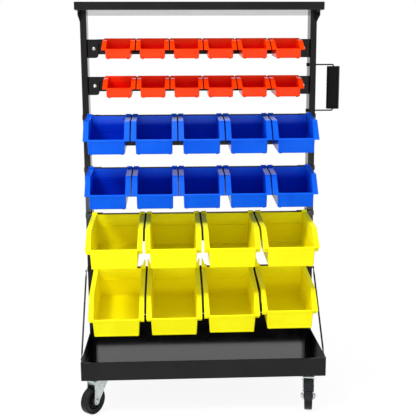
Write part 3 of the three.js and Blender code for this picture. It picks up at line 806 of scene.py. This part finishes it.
def makeBinMould(colourName, row):
    look, size = binLook, binSizes[colourName]
    lug = size["lugs"][row]
    lean = math.radians(size["lean"])
    back = -(railLook["sheet"] / 2 + railLook["lip"] * math.sin(lean) + look["play"])
    ceiling = fit + railLook["sheet"] / 2 * math.sin(lean)
    rim = -size["belowLip"]
    front = back - size["length"]
    shoulder = back - size["shoulder"]
    low = rim - size["frontDrop"]
    bottom = rim - size["height"] + look["foot"]
    slope = (size["top"] - size["bottom"]) / 2 / size["height"]
    half = size["top"] / 2 + size["flange"]
    wall, thick, foot, taper = look["wall"], look["rim"], look["foot"], look["taper"]
    inside = back - wall

    def bodyHalf(gap):
        return lambda z: size["top"] / 2 - gap + (z - rim) * slope

    def lowerOrUpright(edge):
        heights = [v.co.z for v in edge.verts]
        rise = abs(heights[0] - heights[1])
        below = low - onPlane
        return max(heights) < below or (min(heights) < below and rise > look["uprightRise"])

    side = [(back, rim), (shoulder, rim), (front, low), (front + foot, bottom), (back, bottom)]
    outer = softened(taperedMesh(side, bodyHalf(0)), look["corner"], 4, lowerOrUpright)
    top = rim + look["open"]
    inner = taperedMesh([(inside, top), (front + wall - taper, top), (front + wall + foot, bottom + wall),
                         (inside, bottom + wall)], bodyHalf(wall))
    softened(inner, size["insideCorner"], 5, lambda e: lowest(e) < bottom + wall + onPlane)
    # above the ledge the back wall is a little thinner, and a ridge runs across it there
    ledge = rim - size["ledge"]
    stepBack, stepFront = inside + look["step"], inside - look["stepDepth"]
    step = taperedMesh(rectangle((stepFront, ledge), (stepBack, top)), bodyHalf(wall))
    softened(step, size["insideCorner"], 5, lambda e: along(e, "z"))
    band = filleted([(back, rim), (shoulder, rim), (front, low), (front, low - thick),
                     (shoulder + look["bandLead"], rim - thick), (back, rim - thick)], look["bandRounds"], 5)
    rims = softPrism(band, (-half, half), "x", look["bandCorner"], 3,
                     lambda e: along(e, "z") and max(v.co.y for v in e.verts) > back - onPlane)
    parts = [standing(outer), rims]
    skirtTop, skirtFoot, lead = rim - look["skirtDrop"], rim - look["skirt"], look["skirtLead"]
    skirt = filleted([(back - bite, skirtTop), (shoulder, skirtTop), (front + lead, low + look["skirtRise"]),
                      (front + lead, low - thick), (front + look["skirt"], low - thick),
                      (shoulder + lead, skirtFoot), (back - bite, skirtFoot)], look["skirtRounds"], 5)
    for sign in (-1, 1):
        parts.append(prism(skirt, *sorted((sign * half, sign * (half - look["skirtThickness"]))), "x"))
        near, far = sorted((sign * (size["top"] / 2 - look["ribRoot"]), sign * (half - look["ribInset"])))
        for share in size["ribShares"]:
            y, line = shoulder + (front - shoulder) * share, rim + (low - rim) * share
            parts.append(block((near, y - look["ribHalf"], line - size["rib"]),
                               (far, y + look["ribHalf"], line - bite)))
    body = cut(union(parts), [standing(inner), standing(step)])
    hookTop, hookFoot = ceiling + look["hook"], -look["hookDepth"]
    hookFront = railLook["sheet"] / 2 + look["play"]
    hookBack = hookFront + look["hook"]
    hook = filleted([(inside, rim - wall), (back, rim - wall), (back, ceiling), (hookFront, ceiling),
                     (hookFront, hookFoot), (hookBack, hookFoot), (hookBack, hookTop), (inside, hookTop)],
                    look["hookRounds"], 3)
    gap = size["hookGap"] / 2
    spans = [(-half, -gap), (gap, half)] if gap else [(-half, half)]
    extras = [prism(hook, *span, "x") for span in spans]
    # a ridge and two ejector marks on the back wall, and a shallow panel on the front
    ridgeHalf = bodyHalf(wall)(ledge) - size["insideCorner"]
    ridgeFront, ridgeFoot = inside - look["ridge"], ledge - look["ridgeHeight"]
    ridge = filleted([(inside + bite, ledge), (ridgeFront, ledge), (ridgeFront, ridgeFoot),
                      (inside + bite, ridgeFoot)], look["ridgeRounds"], 2)
    extras.append(prism(ridge, -ridgeHalf, ridgeHalf, "x"))
    rooted = stepBack + look["pipRoot"]
    pip = [(0, rooted), (look["pip"], rooted), (look["pip"], inside - look["pipRim"]),
           (0, inside - look["pipTip"])]
    footHalf = size["bottom"] / 2 - look["footInset"]
    footFront = front + foot + look["footInset"]
    for sign in (-1, 1):
        spot = (sign * ridgeHalf * look["pipShare"], 0, ledge + look["pipRise"])
        extras.append(lathe(pip, "y", spot, 16))
        near, far = sorted((sign * (footHalf - look["footTrim"]), sign * (footHalf - look["footWidth"])))
        extras.append(block((near, footFront, bottom - foot),
                            (far, footFront + look["footWidth"], bottom + bite)))
        if lug:
            insideX, outsideX, lugTop = sign * size["top"] / 2, sign * half, hookTop + lug
            shape = [(insideX, rim - thick), (outsideX, rim - thick), (outsideX, lugTop),
                     (outsideX - sign * look["lugTip"], lugTop), (insideX, hookTop)]
            extras.append(prism(filleted(shape, look["lugRounds"], 3), inside, back, "y"))
    body = union([body, *extras])
    panel, depth = look["frame"], look["frameDepth"]
    tilt = foot / (low - bottom)
    footY, topY = front + (low - bottom - panel) * tilt, front + panel * tilt
    recess = taperedMesh([(footY - overrun, bottom + panel), (topY - overrun, low - panel),
                          (topY + depth, low - panel), (footY + depth, bottom + panel)], bodyHalf(panel))
    mould = edged(cut(body, [standing(recess)]), look["edge"], 2)
    # how deep each point of the hollow lies under the rim, as a share of the bin's height, from which the
    # plastic paints shade inside the bin
    hollow = mould.data.attributes.new("hollow", "FLOAT", "POINT")
    slack, floor = look["slack"], bottom + wall
    reachable = bodyHalf(wall - slack)
    for vertex, mark in zip(mould.data.vertices, hollow.data):
        x, y, z = vertex.co
        reach = min(max((shoulder - y) / (shoulder - front), 0), 1)
        innerFront = front + wall - taper + (taper + foot) * (top - z) / (top - floor)
        lengthwise = innerFront - look["frontSlack"] < y < stepBack + slack
        within = lengthwise and abs(x) < reachable(z) and z > floor - slack
        mark.value = max((rim + (low - rim) * reach - z) / size["height"], 0) if within else 0
    return mould


levelEnough = 0.01  # most that a floor's face may lean sideways, as a share


def leanOf(node):  # how far the CAD bin leans, from its floor's face
    mesh = frame["nodes"][node].data
    totals = {}
    for face in mesh.polygons:
        if face.normal.z < -steep and abs(face.normal.x) < levelEnough:
            key = round(math.atan2(face.normal.y, -face.normal.z), 4)
            totals[key] = totals.get(key, 0) + face.area
    return max(totals, key=totals.get)


def makeBins(colourName):
    for row in (0, 1):
        mould = makeBinMould(colourName, row)
        railLow, railHigh = nodeBox(f"{colourName}_rail_{row + 1}")
        nodes = sorted(n for n in frame["nodes"] if n.startswith(f"{colourName}_bin_{row + 1}_"))
        for node in nodes:
            low, high = nodeBox(node)
            origin = Vector(((low.x + high.x) / 2, railLow.y + railLook["sheet"] / 2, railHigh.z))
            hung = Matrix.Translation(origin) @ Matrix.Rotation(leanOf(node), 4, "X")
            piece = moved(placed(node, mould.data.copy()), hung)
            finishPiece(piece, f"{node}_moulding", node, f"{colourName}_plastic", [node])
        bpy.data.objects.remove(mould)
        print(colourName, "bins made in row", row + 1, ":", len(nodes))


# Swivel casters, made about the swivel axis and then turned to stand as they were left. raceShoulder gives
# steps from the race's rim and the plate's underside, and rivet a radius and a step out from the fork's side
casterLook = {
    "plateCorner": 6.0, "plateThickness": 3.0, "edge": 0.3, "boltInset": 9.0, "slotHalfLength": 8.0,
    "slotHalfWidth": 4.0, "slotRound": 3.9, "race": 44.0, "raceHeight": 6.0, "raceLip": 1.2,
    "raceShoulder": ((-5.0, 1.0), (-4.0, -0.5), (-1.5, -1.5), (0.0, -3.0)), "kingpin": 10.0,
    "kingpinEnd": (1.0, 0.8), "kingpinNut": 17.0, "kingpinNutHeight": 5.0, "kingpinProud": 0.6,
    "kingpinNutEdge": 0.5, "crown": 5.0, "crownLength": 50.0, "crownRounds": (3.0, 3.0, 2.0),
    "forkSheet": 2.5, "forkGap": 26.5, "forkEnd": 20.0, "forkEdge": 0.45, "legDrop": 2.0, "legRound": 3.0,
    "trail": 20.0, "bend": 4.0, "axle": 8.0, "axleNut": 14.0, "axleNutThickness": 4.5, "axleNutEdge": 0.6,
    "axleEnd": 3.6, "axleEndChamfer": (0.6, 0.3), "washer": 8.4, "washerThickness": 1.0, "washerBite": 0.2,
    "brakePin": 2.0, "rivet": ((0.0, -0.2), (3.4, -0.2), (2.6, 1.1), (0.0, 1.4)),
}
corners = ("front_left", "front_right", "back_left", "back_right")


def makePlate(corner):
    node = f"caster_plate_{corner}"
    low, high = nodeBox(node)
    look = casterLook
    centre = (low + high) / 2
    x, y = (high.x - low.x) / 2, (high.y - low.y) / 2
    under = high.z - look["plateThickness"]
    plate = prism(filleted(rectangle((-x, -y), (x, y)), look["plateCorner"], 6), under, high.z, "z")
    long, short = look["slotHalfLength"], look["slotHalfWidth"]
    slots = []
    for u in (-1, 1):
        for v in (-1, 1):
            hx, hy = u * (x - look["boltInset"]), v * (y - look["boltInset"])
            slot = rectangle((hx - long, hy - short), (hx + long, hy + short))
            slots.append(prism(filleted(slot, look["slotRound"], 5), under - overrun, high.z + overrun, "z"))
            plateBolts.append((centre.x + hx, centre.y + hy, under))
    plate = cut(plate, slots)
    race, lip = look["race"] / 2, look["raceLip"]
    drop = under - look["raceHeight"]
    middle = (0, 0, 0)
    ring = lathe([(0, under + bite), *offsets(look["raceShoulder"], race, under), (race, drop + lip),
                  (race - lip, drop), (0, drop)], "z", middle, 48)
    nutTop = drop - 2 * fit - look["crown"]
    nutBottom = nutTop - look["kingpinNutHeight"]
    pin = stud(look["kingpin"] / 2, drop + bite, nutBottom, look["kingpinEnd"], "z", middle, 32)
    nut = prism(circle(look["kingpinNut"], 6), nutBottom + look["kingpinProud"], nutTop, "z")
    whole = union([plate, ring, pin, edged(nut, look["kingpinNutEdge"])])
    moved(whole, Matrix.Translation((centre.x, centre.y, 0)))
    finishPiece(edged(whole, look["edge"]), f"{node}_pressing", "root", "zinc_plate", [node])
    return centre


def makeFork(corner, place, braked):
    node = f"caster_fork_{corner}"
    look = casterLook
    top = nodeBox(node)[1].z
    bottom = top - look["crown"]
    gap, thick = look["forkGap"] / 2, look["forkSheet"]
    outer = gap + thick
    half, trail = look["crownLength"] / 2, look["trail"]
    axleZ = jointPoint(f"wheel_spin_{corner}").z
    legTop = bottom - thick - look["legDrop"]
    arc = arcAt(-trail, axleZ, look["forkEnd"] / 2, [math.pi + math.pi * k / 12 for k in range(13)])
    outline = filleted([(half, top), (-half, top), (-half, legTop), *arc, (half, legTop)],
                       [*look["crownRounds"], *[0] * len(arc), look["legRound"]], 4)
    solid = softPrism(outline, (-outer, outer), "x", look["bend"], 4,
                      lambda e: along(e, "y") and lowest(e) > top - onPlane)
    hollow = standing(softened(blockMesh((-gap, -2 * half, -overrun), (gap, 2 * half, bottom)),
                               look["bend"] - thick, 3,
                               lambda e: along(e, "y") and lowest(e) > bottom - onPlane))
    hole = prism(circle(look["kingpin"] + 2 * fit, 32), bottom - overrun, top + overrun, "z")
    axle = (0, -trail, axleZ)
    parts = [edged(cut(solid, [hollow, hole]), look["forkEdge"]),
             shaft(look["axle"] / 2, -outer, outer, "x", axle)]
    reach, edge = outer + look["axleNutThickness"], look["axleNutEdge"]
    for sign in (-1, 1):
        parts.append(shaft(look["washer"], sign * (outer - look["washerBite"]),
                           sign * (outer + look["washerThickness"]), "x", axle, 28))
        nut = shaft(look["axleNut"] / 2 - edge, sign * outer, sign * (reach - edge), "x", axle, 6)
        parts.append(edged(nut, edge))
        end = stud(look["axleEnd"], sign * outer, sign * reach, look["axleEndChamfer"], "x", axle, 20)
        parts.append(end)
    if braked:
        pin = (0, -pedalLook["lead"], jointPoint(f"brake_lift_{corner}").z)
        parts.append(shaft(look["brakePin"], -outer, outer, "x", pin, 20))
        for sign in (-1, 1):
            profile = [(radius, sign * (outer + out)) for radius, out in look["rivet"]]
            parts.append(lathe(profile, "x", pin, 20))
    finishPiece(moved(joined(parts), place), f"{node}_pressing", f"swivel_{corner}", "zinc_plate", [node])


# Pairs are steps from a radius and from the tyre's side or the hub's end, but webRim's second from the middle
wheelLook = {
    "diameter": 75.0, "width": 21.0, "shoulder": 2.6, "treadShare": 0.3, "seat": ((0.0, 3.2), (1.2, 2.2)),
    "groove": ((-5.6, 0.7), (-5.0, 1.3), (-4.4, 0.4)), "hub": 26.0, "hubWidth": 25.0, "bore": 8.6,
    "bearing": ((0.0, 0.0), (2.5, 0.0), (2.5, 1.2)), "hubFace": ((-3.0, 1.2), (-2.2, 0.4), (0.0, 1.4)),
    "core": 52.0, "webHub": 2.2, "webRim": (-2.4, -1.8), "coreLip": ((-1.8, 3.4), (0.4, 3.0)), "ribs": 10,
    "ribThickness": 1.8, "ribBite": 1.5, "ribInset": 4.6,
}


def newTree(name, sockets):
    # a tree that gives out geometry, with an input for each socket
    tree = bpy.data.node_groups.new(name, "GeometryNodeTree")
    for label, kind, value in sockets:
        socket = tree.interface.new_socket(label, in_out="INPUT", socket_type=f"NodeSocket{kind}")
        if value is not None:
            socket.default_value = value
    tree.interface.new_socket("Geometry", in_out="OUTPUT", socket_type="NodeSocketGeometry")
    return tree, addNode(tree, "NodeGroupInput").outputs


def giveOut(tree, instances, finish):
    # makes the instances real, gives them their material and puts them out
    real = addNode(tree, "GeometryNodeRealizeInstances", links={"Geometry": instances})
    dressed = addNode(tree, "GeometryNodeSetMaterial",
                      links={"Geometry": real.outputs[0], "Material": finish})
    addNode(tree, "NodeGroupOutput", links={0: dressed.outputs[0]})
    return tree


def ribTree():
    # ribs set round a wheel's axis, each a thin slab from the hub to the rim
    tree, given = newTree("hubRibs", [("Ribs", "Int", 8), ("Inner", "Float", 12.0), ("Outer", "Float", 25.0),
                                      ("Thickness", "Float", 2.0), ("Depth", "Float", 12.0),
                                      ("Finish", "Material", None)])
    ring = addNode(tree, "GeometryNodeMeshCircle", links={"Vertices": given["Ribs"]})
    middle = addNode(tree, "ShaderNodeMath", {"operation": "ADD"}, {0: given["Inner"], 1: given["Outer"]})
    halfway = addNode(tree, "ShaderNodeMath", {"operation": "MULTIPLY", 1: 0.5}, {0: middle.outputs[0]})
    tree.links.new(halfway.outputs[0], ring.inputs["Radius"])
    span = addNode(tree, "ShaderNodeMath", {"operation": "SUBTRACT"}, {0: given["Outer"], 1: given["Inner"]})
    size = addNode(tree, "ShaderNodeCombineXYZ",
                   links={"X": span.outputs[0], "Y": given["Thickness"], "Z": given["Depth"]})
    slab = addNode(tree, "GeometryNodeMeshCube", links={"Size": size.outputs[0]})
    spot = addNode(tree, "GeometryNodeInputPosition")
    facing = addNode(tree, "FunctionNodeAlignRotationToVector", {"axis": "X"}, {"Vector": spot.outputs[0]})
    ribs = addNode(tree, "GeometryNodeInstanceOnPoints", links={
        "Points": ring.outputs["Mesh"], "Instance": slab.outputs["Mesh"], "Rotation": facing.outputs[0]})
    return giveOut(tree, ribs.outputs[0], given["Finish"])


def fastenerTree():
    # one fastener on each point, standing along the point's facing and turned by chance about its own axis
    tree, given = newTree("fastenersOnPoints", [("Geometry", "Geometry", None), ("Fastener", "Object", None),
                                                ("Size", "Float", 1.0), ("Seed", "Int", 7),
                                                ("Finish", "Material", None)])
    piece = addNode(tree, "GeometryNodeObjectInfo", links={"Object": given["Fastener"]})
    toward = addNode(tree, "GeometryNodeInputNamedAttribute", {"data_type": "FLOAT_VECTOR", "Name": "facing"})
    upright = addNode(tree, "FunctionNodeAlignRotationToVector", {"axis": "Z"}, {"Vector": toward.outputs[0]})
    chance = addNode(tree, "FunctionNodeRandomValue", {"data_type": "FLOAT", 2: 0.0, 3: 2 * math.pi},
                     {"Seed": given["Seed"]})
    spin = addNode(tree, "ShaderNodeCombineXYZ", links={"Z": chance.outputs[1]})
    turned = addNode(tree, "FunctionNodeRotateRotation", {"rotation_space": "LOCAL"},
                     {0: upright.outputs[0], 1: spin.outputs[0]})
    scale = addNode(tree, "ShaderNodeCombineXYZ", links={axis: given["Size"] for axis in "XYZ"})
    stood = addNode(tree, "GeometryNodeInstanceOnPoints", links={
        "Points": given["Geometry"], "Instance": piece.outputs["Geometry"], "Rotation": turned.outputs[0],
        "Scale": scale.outputs[0]})
    return giveOut(tree, stood.outputs[0], given["Finish"])


def grown(tree, values, points=(), facings=()):
    # runs a tree on a set of points and gives its result as a plain mesh
    mesh = bpy.data.meshes.new("points")
    mesh.from_pydata([tuple(p) for p in points], [], [])
    if facings:
        attribute = mesh.attributes.new("facing", "FLOAT_VECTOR", "POINT")
        for item, facing in zip(attribute.data, facings):
            item.vector = facing
    piece = placed("grown", mesh)
    modifier = piece.modifiers.new("grow", "NODES")
    modifier.node_group = tree
    for item in tree.interface.items_tree:
        if item.item_type == "SOCKET" and item.in_out == "INPUT" and item.name in values:
            modifier[item.identifier] = values[item.name]
    return settle(piece)


def makeWheel(corner, place):
    look = wheelLook
    node = f"wheel_{corner}"
    centre = (0, -casterLook["trail"], jointPoint(f"wheel_spin_{corner}").z)
    r, w, core, shoulder = look["diameter"] / 2, look["width"] / 2, look["core"] / 2, look["shoulder"]
    quarter = [math.pi / 2 - math.pi / 2 * k / 5 for k in range(6)]
    crown = [(r - shoulder + shoulder * math.cos(a), -w + shoulder * (1 - math.sin(a))) for a in quarter]
    side = offsets(look["seat"], core, -w) + offsets(look["groove"], r, -w)
    tyre = lathe(mirrored(side + crown + [(r, -w * look["treadShare"])]), "x", centre, 72)
    finishPiece(moved(tyre, place), f"{node}_tyre", node, "grey_rubber", [node])
    hub, hubEnd = look["hub"] / 2, look["hubWidth"] / 2
    near = offsets(look["bearing"], look["bore"] / 2, -hubEnd) + offsets(look["hubFace"], hub, -hubEnd)
    near += [(hub, -look["webHub"]), *offsets([look["webRim"]], core, 0), *offsets(look["coreLip"], core, -w)]
    centreCore = lathe(mirrored(near), "x", centre, 60)
    values = {"Ribs": look["ribs"], "Inner": hub - look["ribBite"], "Outer": core - look["ribBite"],
              "Thickness": look["ribThickness"], "Depth": 2 * (w - look["ribInset"]),
              "Finish": finishes["hub_nylon"]}
    ribs = grown(wheelRibs, values)
    moved(ribs, Matrix.Translation(centre) @ Matrix.Rotation(math.pi / 2, 4, "Y"))
    hubPiece = joined([centreCore, ribs])
    finishPiece(moved(hubPiece, place), f"{node}_hub", node, "grey_rubber", finish="hub_nylon")


pedalLook = {
    "width": 27.5, "boss": 9.0, "pin": 4.6, "lead": 17.0, "lift": 20.0, "rise": 5.0, "headLead": 23.0,
    "toeLead": 40.0, "toeDrop": 16.0, "lip": 3.0, "headRounds": (1, 2.5, 5, 2, 2, 4), "round": 2.0,
    "tongue": 17.0, "tongueThickness": 4.5, "tongueBite": 2.0, "tongueRound": 1.0, "sweep": (4.0, 70.0),
    "gap": 0.7, "ridges": 4, "ridge": 1.6, "ridgeInset": 4.0, "ridgeStart": 1.2, "edge": 0.4,
}


def makePedal(corner, place):
    look = pedalLook
    node = f"brake_pedal_{corner}"
    pin = jointPoint(f"brake_lift_{corner}")
    wheel = jointPoint(f"wheel_spin_{corner}")
    lead, boss, rise, lip = look["lead"], look["boss"], look["rise"], look["lip"]
    headLead, toeLead, toeDrop = look["headLead"], look["toeLead"], look["toeDrop"]
    axleY, axleZ = lead - casterLook["trail"], wheel.z - pin.z
    clear = wheelLook["diameter"] / 2 + look["gap"]
    rooted = clear - look["tongueBite"]
    first, last = (math.pi - math.radians(angle) for angle in look["sweep"])
    sweep = [first + (last - first) * k / 16 for k in range(17)]
    band = arcAt(axleY, axleZ, clear + look["tongueThickness"], sweep)
    band += arcAt(axleY, axleZ, rooted, reversed(sweep))
    half, hub = look["tongue"] / 2, Vector((axleY, axleZ))

    def outward(edge):
        return not along(edge, "x") and (edge.verts[0].co.yz - hub).length > clear + look["tongueBite"]
    tongue = softPrism(band, (-half, half), "x", look["tongueRound"], 2, outward)
    # lifted, the neck passes under the crown's front edge and the head stays ahead of it
    lift = math.radians(look["lift"])
    crownLead = casterLook["crownLength"] / 2 - lead
    crownGap = nodeBox(f"caster_fork_{corner}")[1].z - casterLook["crown"] - pin.z
    neckRise = crownGap * math.cos(lift) - crownLead * math.sin(lift) - fit
    headBack = -(crownLead + rise * math.sin(lift) + fit) / math.cos(lift)
    head = filleted([(headBack, -boss), (headBack, rise), (-headLead, rise), (-toeLead, -toeDrop),
                     (-toeLead + lip, -toeDrop - lip), (-headLead, -toeDrop - lip)], look["headRounds"], 5)
    wide = look["width"] / 2
    pad = softPrism(head, (-wide, wide), "x", look["round"], 3, lambda e: not along(e, "x"))
    neckHalf = casterLook["forkGap"] / 2 - 2 * fit
    neck = prism(rectangle((-lead, -boss / 2), (0, neckRise)), -neckHalf, neckHalf, "x")
    barrel = prism(circle(boss, 28), -neckHalf, neckHalf, "x")
    ridges = []
    ridgeHalf = wide - look["ridgeInset"]
    slopeStart, slopeEnd = Vector((-headLead, rise)), Vector((-toeLead, -toeDrop))
    for k in range(look["ridges"]):
        spot = slopeStart.lerp(slopeEnd, (k + look["ridgeStart"]) / (look["ridges"] + look["ridgeStart"]))
        ridges.append(prism(offsets(circle(look["ridge"], 10), spot.x, spot.y), -ridgeHalf, ridgeHalf, "x"))
    # the shapes that cut it reach well past it, in shares of the head's own reach
    bore = prism(circle(look["pin"], 24), -toeLead, toeLead, "x")
    tyre = shaft(clear, -toeLead, toeLead, "x", (0, axleY, axleZ), 72)
    legFront = lead - casterLook["trail"] - casterLook["forkEnd"] / 2 - fit
    across, tall = 1.5 * toeLead, 2 * toeLead
    legs = []
    for sign in (-1, 1):
        near, far = sorted((sign * neckHalf, sign * across))
        legs.append(block((near, legFront, -tall), (far, across, tall)))
    body = cut(union([pad, tongue, neck, barrel, *ridges]), [bore, tyre, *legs])
    stand = place @ Matrix.Translation((0, -lead, pin.z))
    finishPiece(moved(edged(body, look["edge"]), stand), f"{node}_lever", f"brake_{corner}", "pedal_plastic",
                [node])


def makeCaster(corner):
    centre = makePlate(corner)
    wheel = jointPoint(f"wheel_spin_{corner}")
    turn = math.atan2(wheel.x - centre.x, -(wheel.y - centre.y))
    place = Matrix.Translation((centre.x, centre.y, 0)) @ Matrix.Rotation(turn, 4, "Z")
    braked = f"brake_pedal_{corner}" in frame["nodes"]
    makeFork(corner, place, braked)
    makeWheel(corner, place)
    if braked:
        makePedal(corner, place)
    print("caster made:", corner)


# Fasteners. dome gives shares of the head's radius and height
screwLook = {
    "head": 10.0, "height": 3.0, "seat": 0.6, "seatShare": 0.6, "bed": 0.02,
    "dome": ((1.0, 0.42), (0.9, 0.72), (0.66, 0.93), (0.3, 1.0), (0.0, 1.0)), "recess": 1.3,
    "recessWidth": 1.4, "recessShare": 0.5, "edge": 0.15, "small": 0.8,
}
boltLook = {
    "head": 11.0, "thickness": 4.0, "edge": 0.6, "washer": 6.8, "washerThickness": 1.2, "washerEdge": 0.2,
    "bite": 0.2, "end": ((0.0, -6.2), (2.4, -6.2), (3.0, -5.6), (3.0, -3.0), (0.0, -3.0)),
}


def panScrew():
    # cross-recess pan head that stands on its face at the origin, along Z
    look = screwLook
    r, h = look["head"] / 2, look["height"]
    shank = [(0, -look["seat"]), (r * look["seatShare"], -look["seat"]), (r, -look["bed"])]
    head = lathe(shank + [(r * across, h * up) for across, up in look["dome"]], "z", (0, 0, 0), 28)
    narrow, long, foot = look["recessWidth"] / 2, r * look["recessShare"], h - look["recess"]
    arms = [block((-x, -y, foot), (x, y, h + bite)) for x, y in ((long, narrow), (narrow, long))]
    return edged(cut(head, [union(arms)]), look["edge"], 1, 50)


def hexBolt():
    # hexagon head with a pressed washer face, along -Z
    look = boltLook
    head = prism(circle(look["head"], 6), -look["thickness"], look["bite"], "z")
    washer = shaft(look["washer"], -look["washerThickness"], look["bite"], "z", (0, 0, 0), 28)
    stub = lathe(look["end"], "z", (0, 0, 0), 20)
    return joined([edged(head, look["edge"]), edged(washer, look["washerEdge"], 1), stub])


# Places that several pieces share
postFront = nodeBox("red_rail_1")[0].y + railLook["lipLead"]
handleLow, handleHigh = nodeBox("handle_rod")
nutHalf = handleLook["nut"] / 2
handleEnds = [Vector((handleLow.x, jointPoint("grip_spin").y, z))
              for z in (handleHigh.z - nutHalf, handleLow.z + nutHalf)]
webFront = postFront + railLook["webSetback"]
screws, sideScrews, plateBolts = [], [], []

makeTopTray()
makeBottomTray()
for side in (-1, 1):
    makePost(side)
    makeBrace(side)
print("trays, posts and braces made")
for colourName in binSizes:
    for row in (1, 2):
        makeRail(f"{colourName}_rail_{row}")
makeHandle()
makeGrip()
print("rails and handle made")
for colourName in binSizes:
    makeBins(colourName)
wheelRibs = ribTree()
for corner in corners:
    makeCaster(corner)

fasteners = fastenerTree()
pan10, bolt = panScrew(), hexBolt()
fastened = {
    "rail_screws": (pan10, 1.0, 3, "zinc_plate", screws, [(0, -1, 0)] * len(screws)),
    "brace_screws": (pan10, screwLook["small"], 5, "black_paint", [s[:3] for s in sideScrews],
                     [(s[3], 0, 0) for s in sideScrews]),
    "caster_bolts": (bolt, 1.0, 11, "zinc_plate", plateBolts, [(0, 0, 1)] * len(plateBolts)),
}
for name, (kind, size, seed, slot, places, facings) in fastened.items():
    values = {"Fastener": kind, "Size": size, "Seed": seed, "Finish": finishes[slot]}
    finishPiece(grown(fasteners, values, places, facings), name, "root", slot)
for spare in (pan10, bolt):
    bpy.data.objects.remove(spare)
print("fasteners made")

# Floor, light and camera
stageLook = {"floor": 12.0, "bounce": 0.45, "shade": 0.12, "glow": 0.91, "fade": (0.9, 2.0),
             "worldLight": 0.78}


def whiteForView(tree, plain, shown):
    # camera, glossy and transmission rays see the second shader, all others the first
    path = addNode(tree, "ShaderNodeLightPath")
    seen = addNode(tree, "ShaderNodeMath", {"operation": "MAXIMUM"},
                   {0: path.outputs["Is Camera Ray"], 1: path.outputs["Is Glossy Ray"]})
    either = addNode(tree, "ShaderNodeMath", {"operation": "MAXIMUM"},
                     {0: seen.outputs[0], 1: path.outputs["Is Transmission Ray"]})
    return addNode(tree, "ShaderNodeMixShader", links={0: either.outputs[0], 1: plain, 2: shown})


def makeStage():
    bm = bmesh.new()
    half = stageLook["floor"] / 2
    bm.faces.new([bm.verts.new((x, y, 0)) for x, y in rectangle((-half, -half), (half, half))])
    floor = fromMesh(bm, "studioFloor")
    material = bpy.data.materials.new("whiteStudioFloor")
    tree = emptied(material)
    # near the cart the floor takes its shadow, and farther off it runs into the white backdrop
    plain = addNode(tree, "ShaderNodeBsdfDiffuse", {"Color": (stageLook["bounce"],) * 3 + (1,)})
    shadowed = addNode(tree, "ShaderNodeBsdfDiffuse", {"Color": (stageLook["shade"],) * 3 + (1,)})
    glow = addNode(tree, "ShaderNodeEmission", {"Color": (1, 1, 1, 1), "Strength": stageLook["glow"]})
    both = addNode(tree, "ShaderNodeAddShader", links={0: shadowed.outputs[0], 1: glow.outputs[0]})
    white = addNode(tree, "ShaderNodeEmission", {"Color": (1, 1, 1, 1), "Strength": 1.0})
    where = addNode(tree, "ShaderNodeTexCoord").outputs["Object"]
    away = addNode(tree, "ShaderNodeVectorMath", {"operation": "LENGTH"}, {0: where})
    fade = addNode(tree, "ShaderNodeMapRange",
                   {"From Min": stageLook["fade"][0], "From Max": stageLook["fade"][1]},
                   {"Value": away.outputs["Value"]})
    shown = addNode(tree, "ShaderNodeMixShader",
                    links={0: fade.outputs["Result"], 1: both.outputs[0], 2: white.outputs[0]})
    mix = whiteForView(tree, plain.outputs[0], shown.outputs[0])
    addNode(tree, "ShaderNodeOutputMaterial", links={"Surface": mix.outputs[0]})
    floor.data.materials.append(material)
    world = bpy.data.worlds.new("whiteStudio")
    bpy.context.scene.world = world
    tree = emptied(world)
    dim = addNode(tree, "ShaderNodeBackground", {"Color": (1, 1, 1, 1), "Strength": stageLook["worldLight"]})
    white = addNode(tree, "ShaderNodeBackground", {"Color": (1, 1, 1, 1), "Strength": 1.0})
    mix = whiteForView(tree, dim.outputs[0], white.outputs[0])
    addNode(tree, "ShaderNodeOutputWorld", links={"Surface": mix.outputs[0]})


lights = {
    "leftTopSoftbox": {"at": (-1.8, -1.6, 3.4), "size": (1.0, 1.0), "power": 82.0},
    "overheadStrip": {"at": (-0.4, -0.3, 2.6), "size": (1.6, 0.3), "power": 6.0},
    "lowFrontStrip": {"at": (0.0, -2.6, 0.12), "size": (2.6, 0.2), "power": 11.0},
    "lowLeftStrip": {"at": (-1.6, -2.2, 0.12), "size": (1.4, 0.2), "power": 10.0},
}


def makeLights():
    aim = Vector((0, 0, 0.55))
    for name, look in lights.items():
        lamp = bpy.data.lights.new(name, "AREA")
        lamp.shape = "RECTANGLE"
        lamp.size, lamp.size_y = look["size"]
        lamp.energy = look["power"]
        lampObject = placed(name, lamp)
        lampObject.location = look["at"]
        lampObject.rotation_euler = (aim - Vector(look["at"])).to_track_quat("-Z", "Y").to_euler()


# Where the photo was taken from, against the middle of the top tray and the posts' front faces
cameraLook = {
    "left": 78.3, "ahead": 2175.4, "height": 918.5, "yaw": 0.04607, "pitch": 0.1783, "roll": -0.00421,
    "focalPixels": 774.8, "imagePixels": 416.0, "sensor": 36.0,
}


def makeCamera():
    look = cameraLook
    trayLow, trayHigh = nodeBox("top_tray")
    camera = bpy.data.cameras.new("photoCamera")
    camera.sensor_width = look["sensor"]
    camera.lens = look["focalPixels"] / look["imagePixels"] * look["sensor"]
    camera.clip_start, camera.clip_end = 0.01, 100
    cameraObject = placed("photoCamera", camera)
    yaw, pitch, roll = look["yaw"], look["pitch"], look["roll"]
    forward = Vector((math.sin(yaw) * math.cos(pitch), math.cos(yaw) * math.cos(pitch), -math.sin(pitch)))
    right = Vector((math.cos(yaw), -math.sin(yaw), 0))
    up = right.cross(forward)
    across = math.cos(roll) * right + math.sin(roll) * up
    upward = -math.sin(roll) * right + math.cos(roll) * up
    turn = Matrix((across, upward, -forward)).transposed().to_4x4()
    place = Vector(((trayLow.x + trayHigh.x) / 2 - look["left"], postFront - look["ahead"],
                    look["height"])) * mm
    cameraObject.matrix_world = Matrix.Translation(place) @ turn
    bpy.context.scene.camera = cameraObject


makeStage()
makeLights()
makeCamera()
bpy.context.scene.view_settings.view_transform = "Standard"
print("stage, lights and camera made")
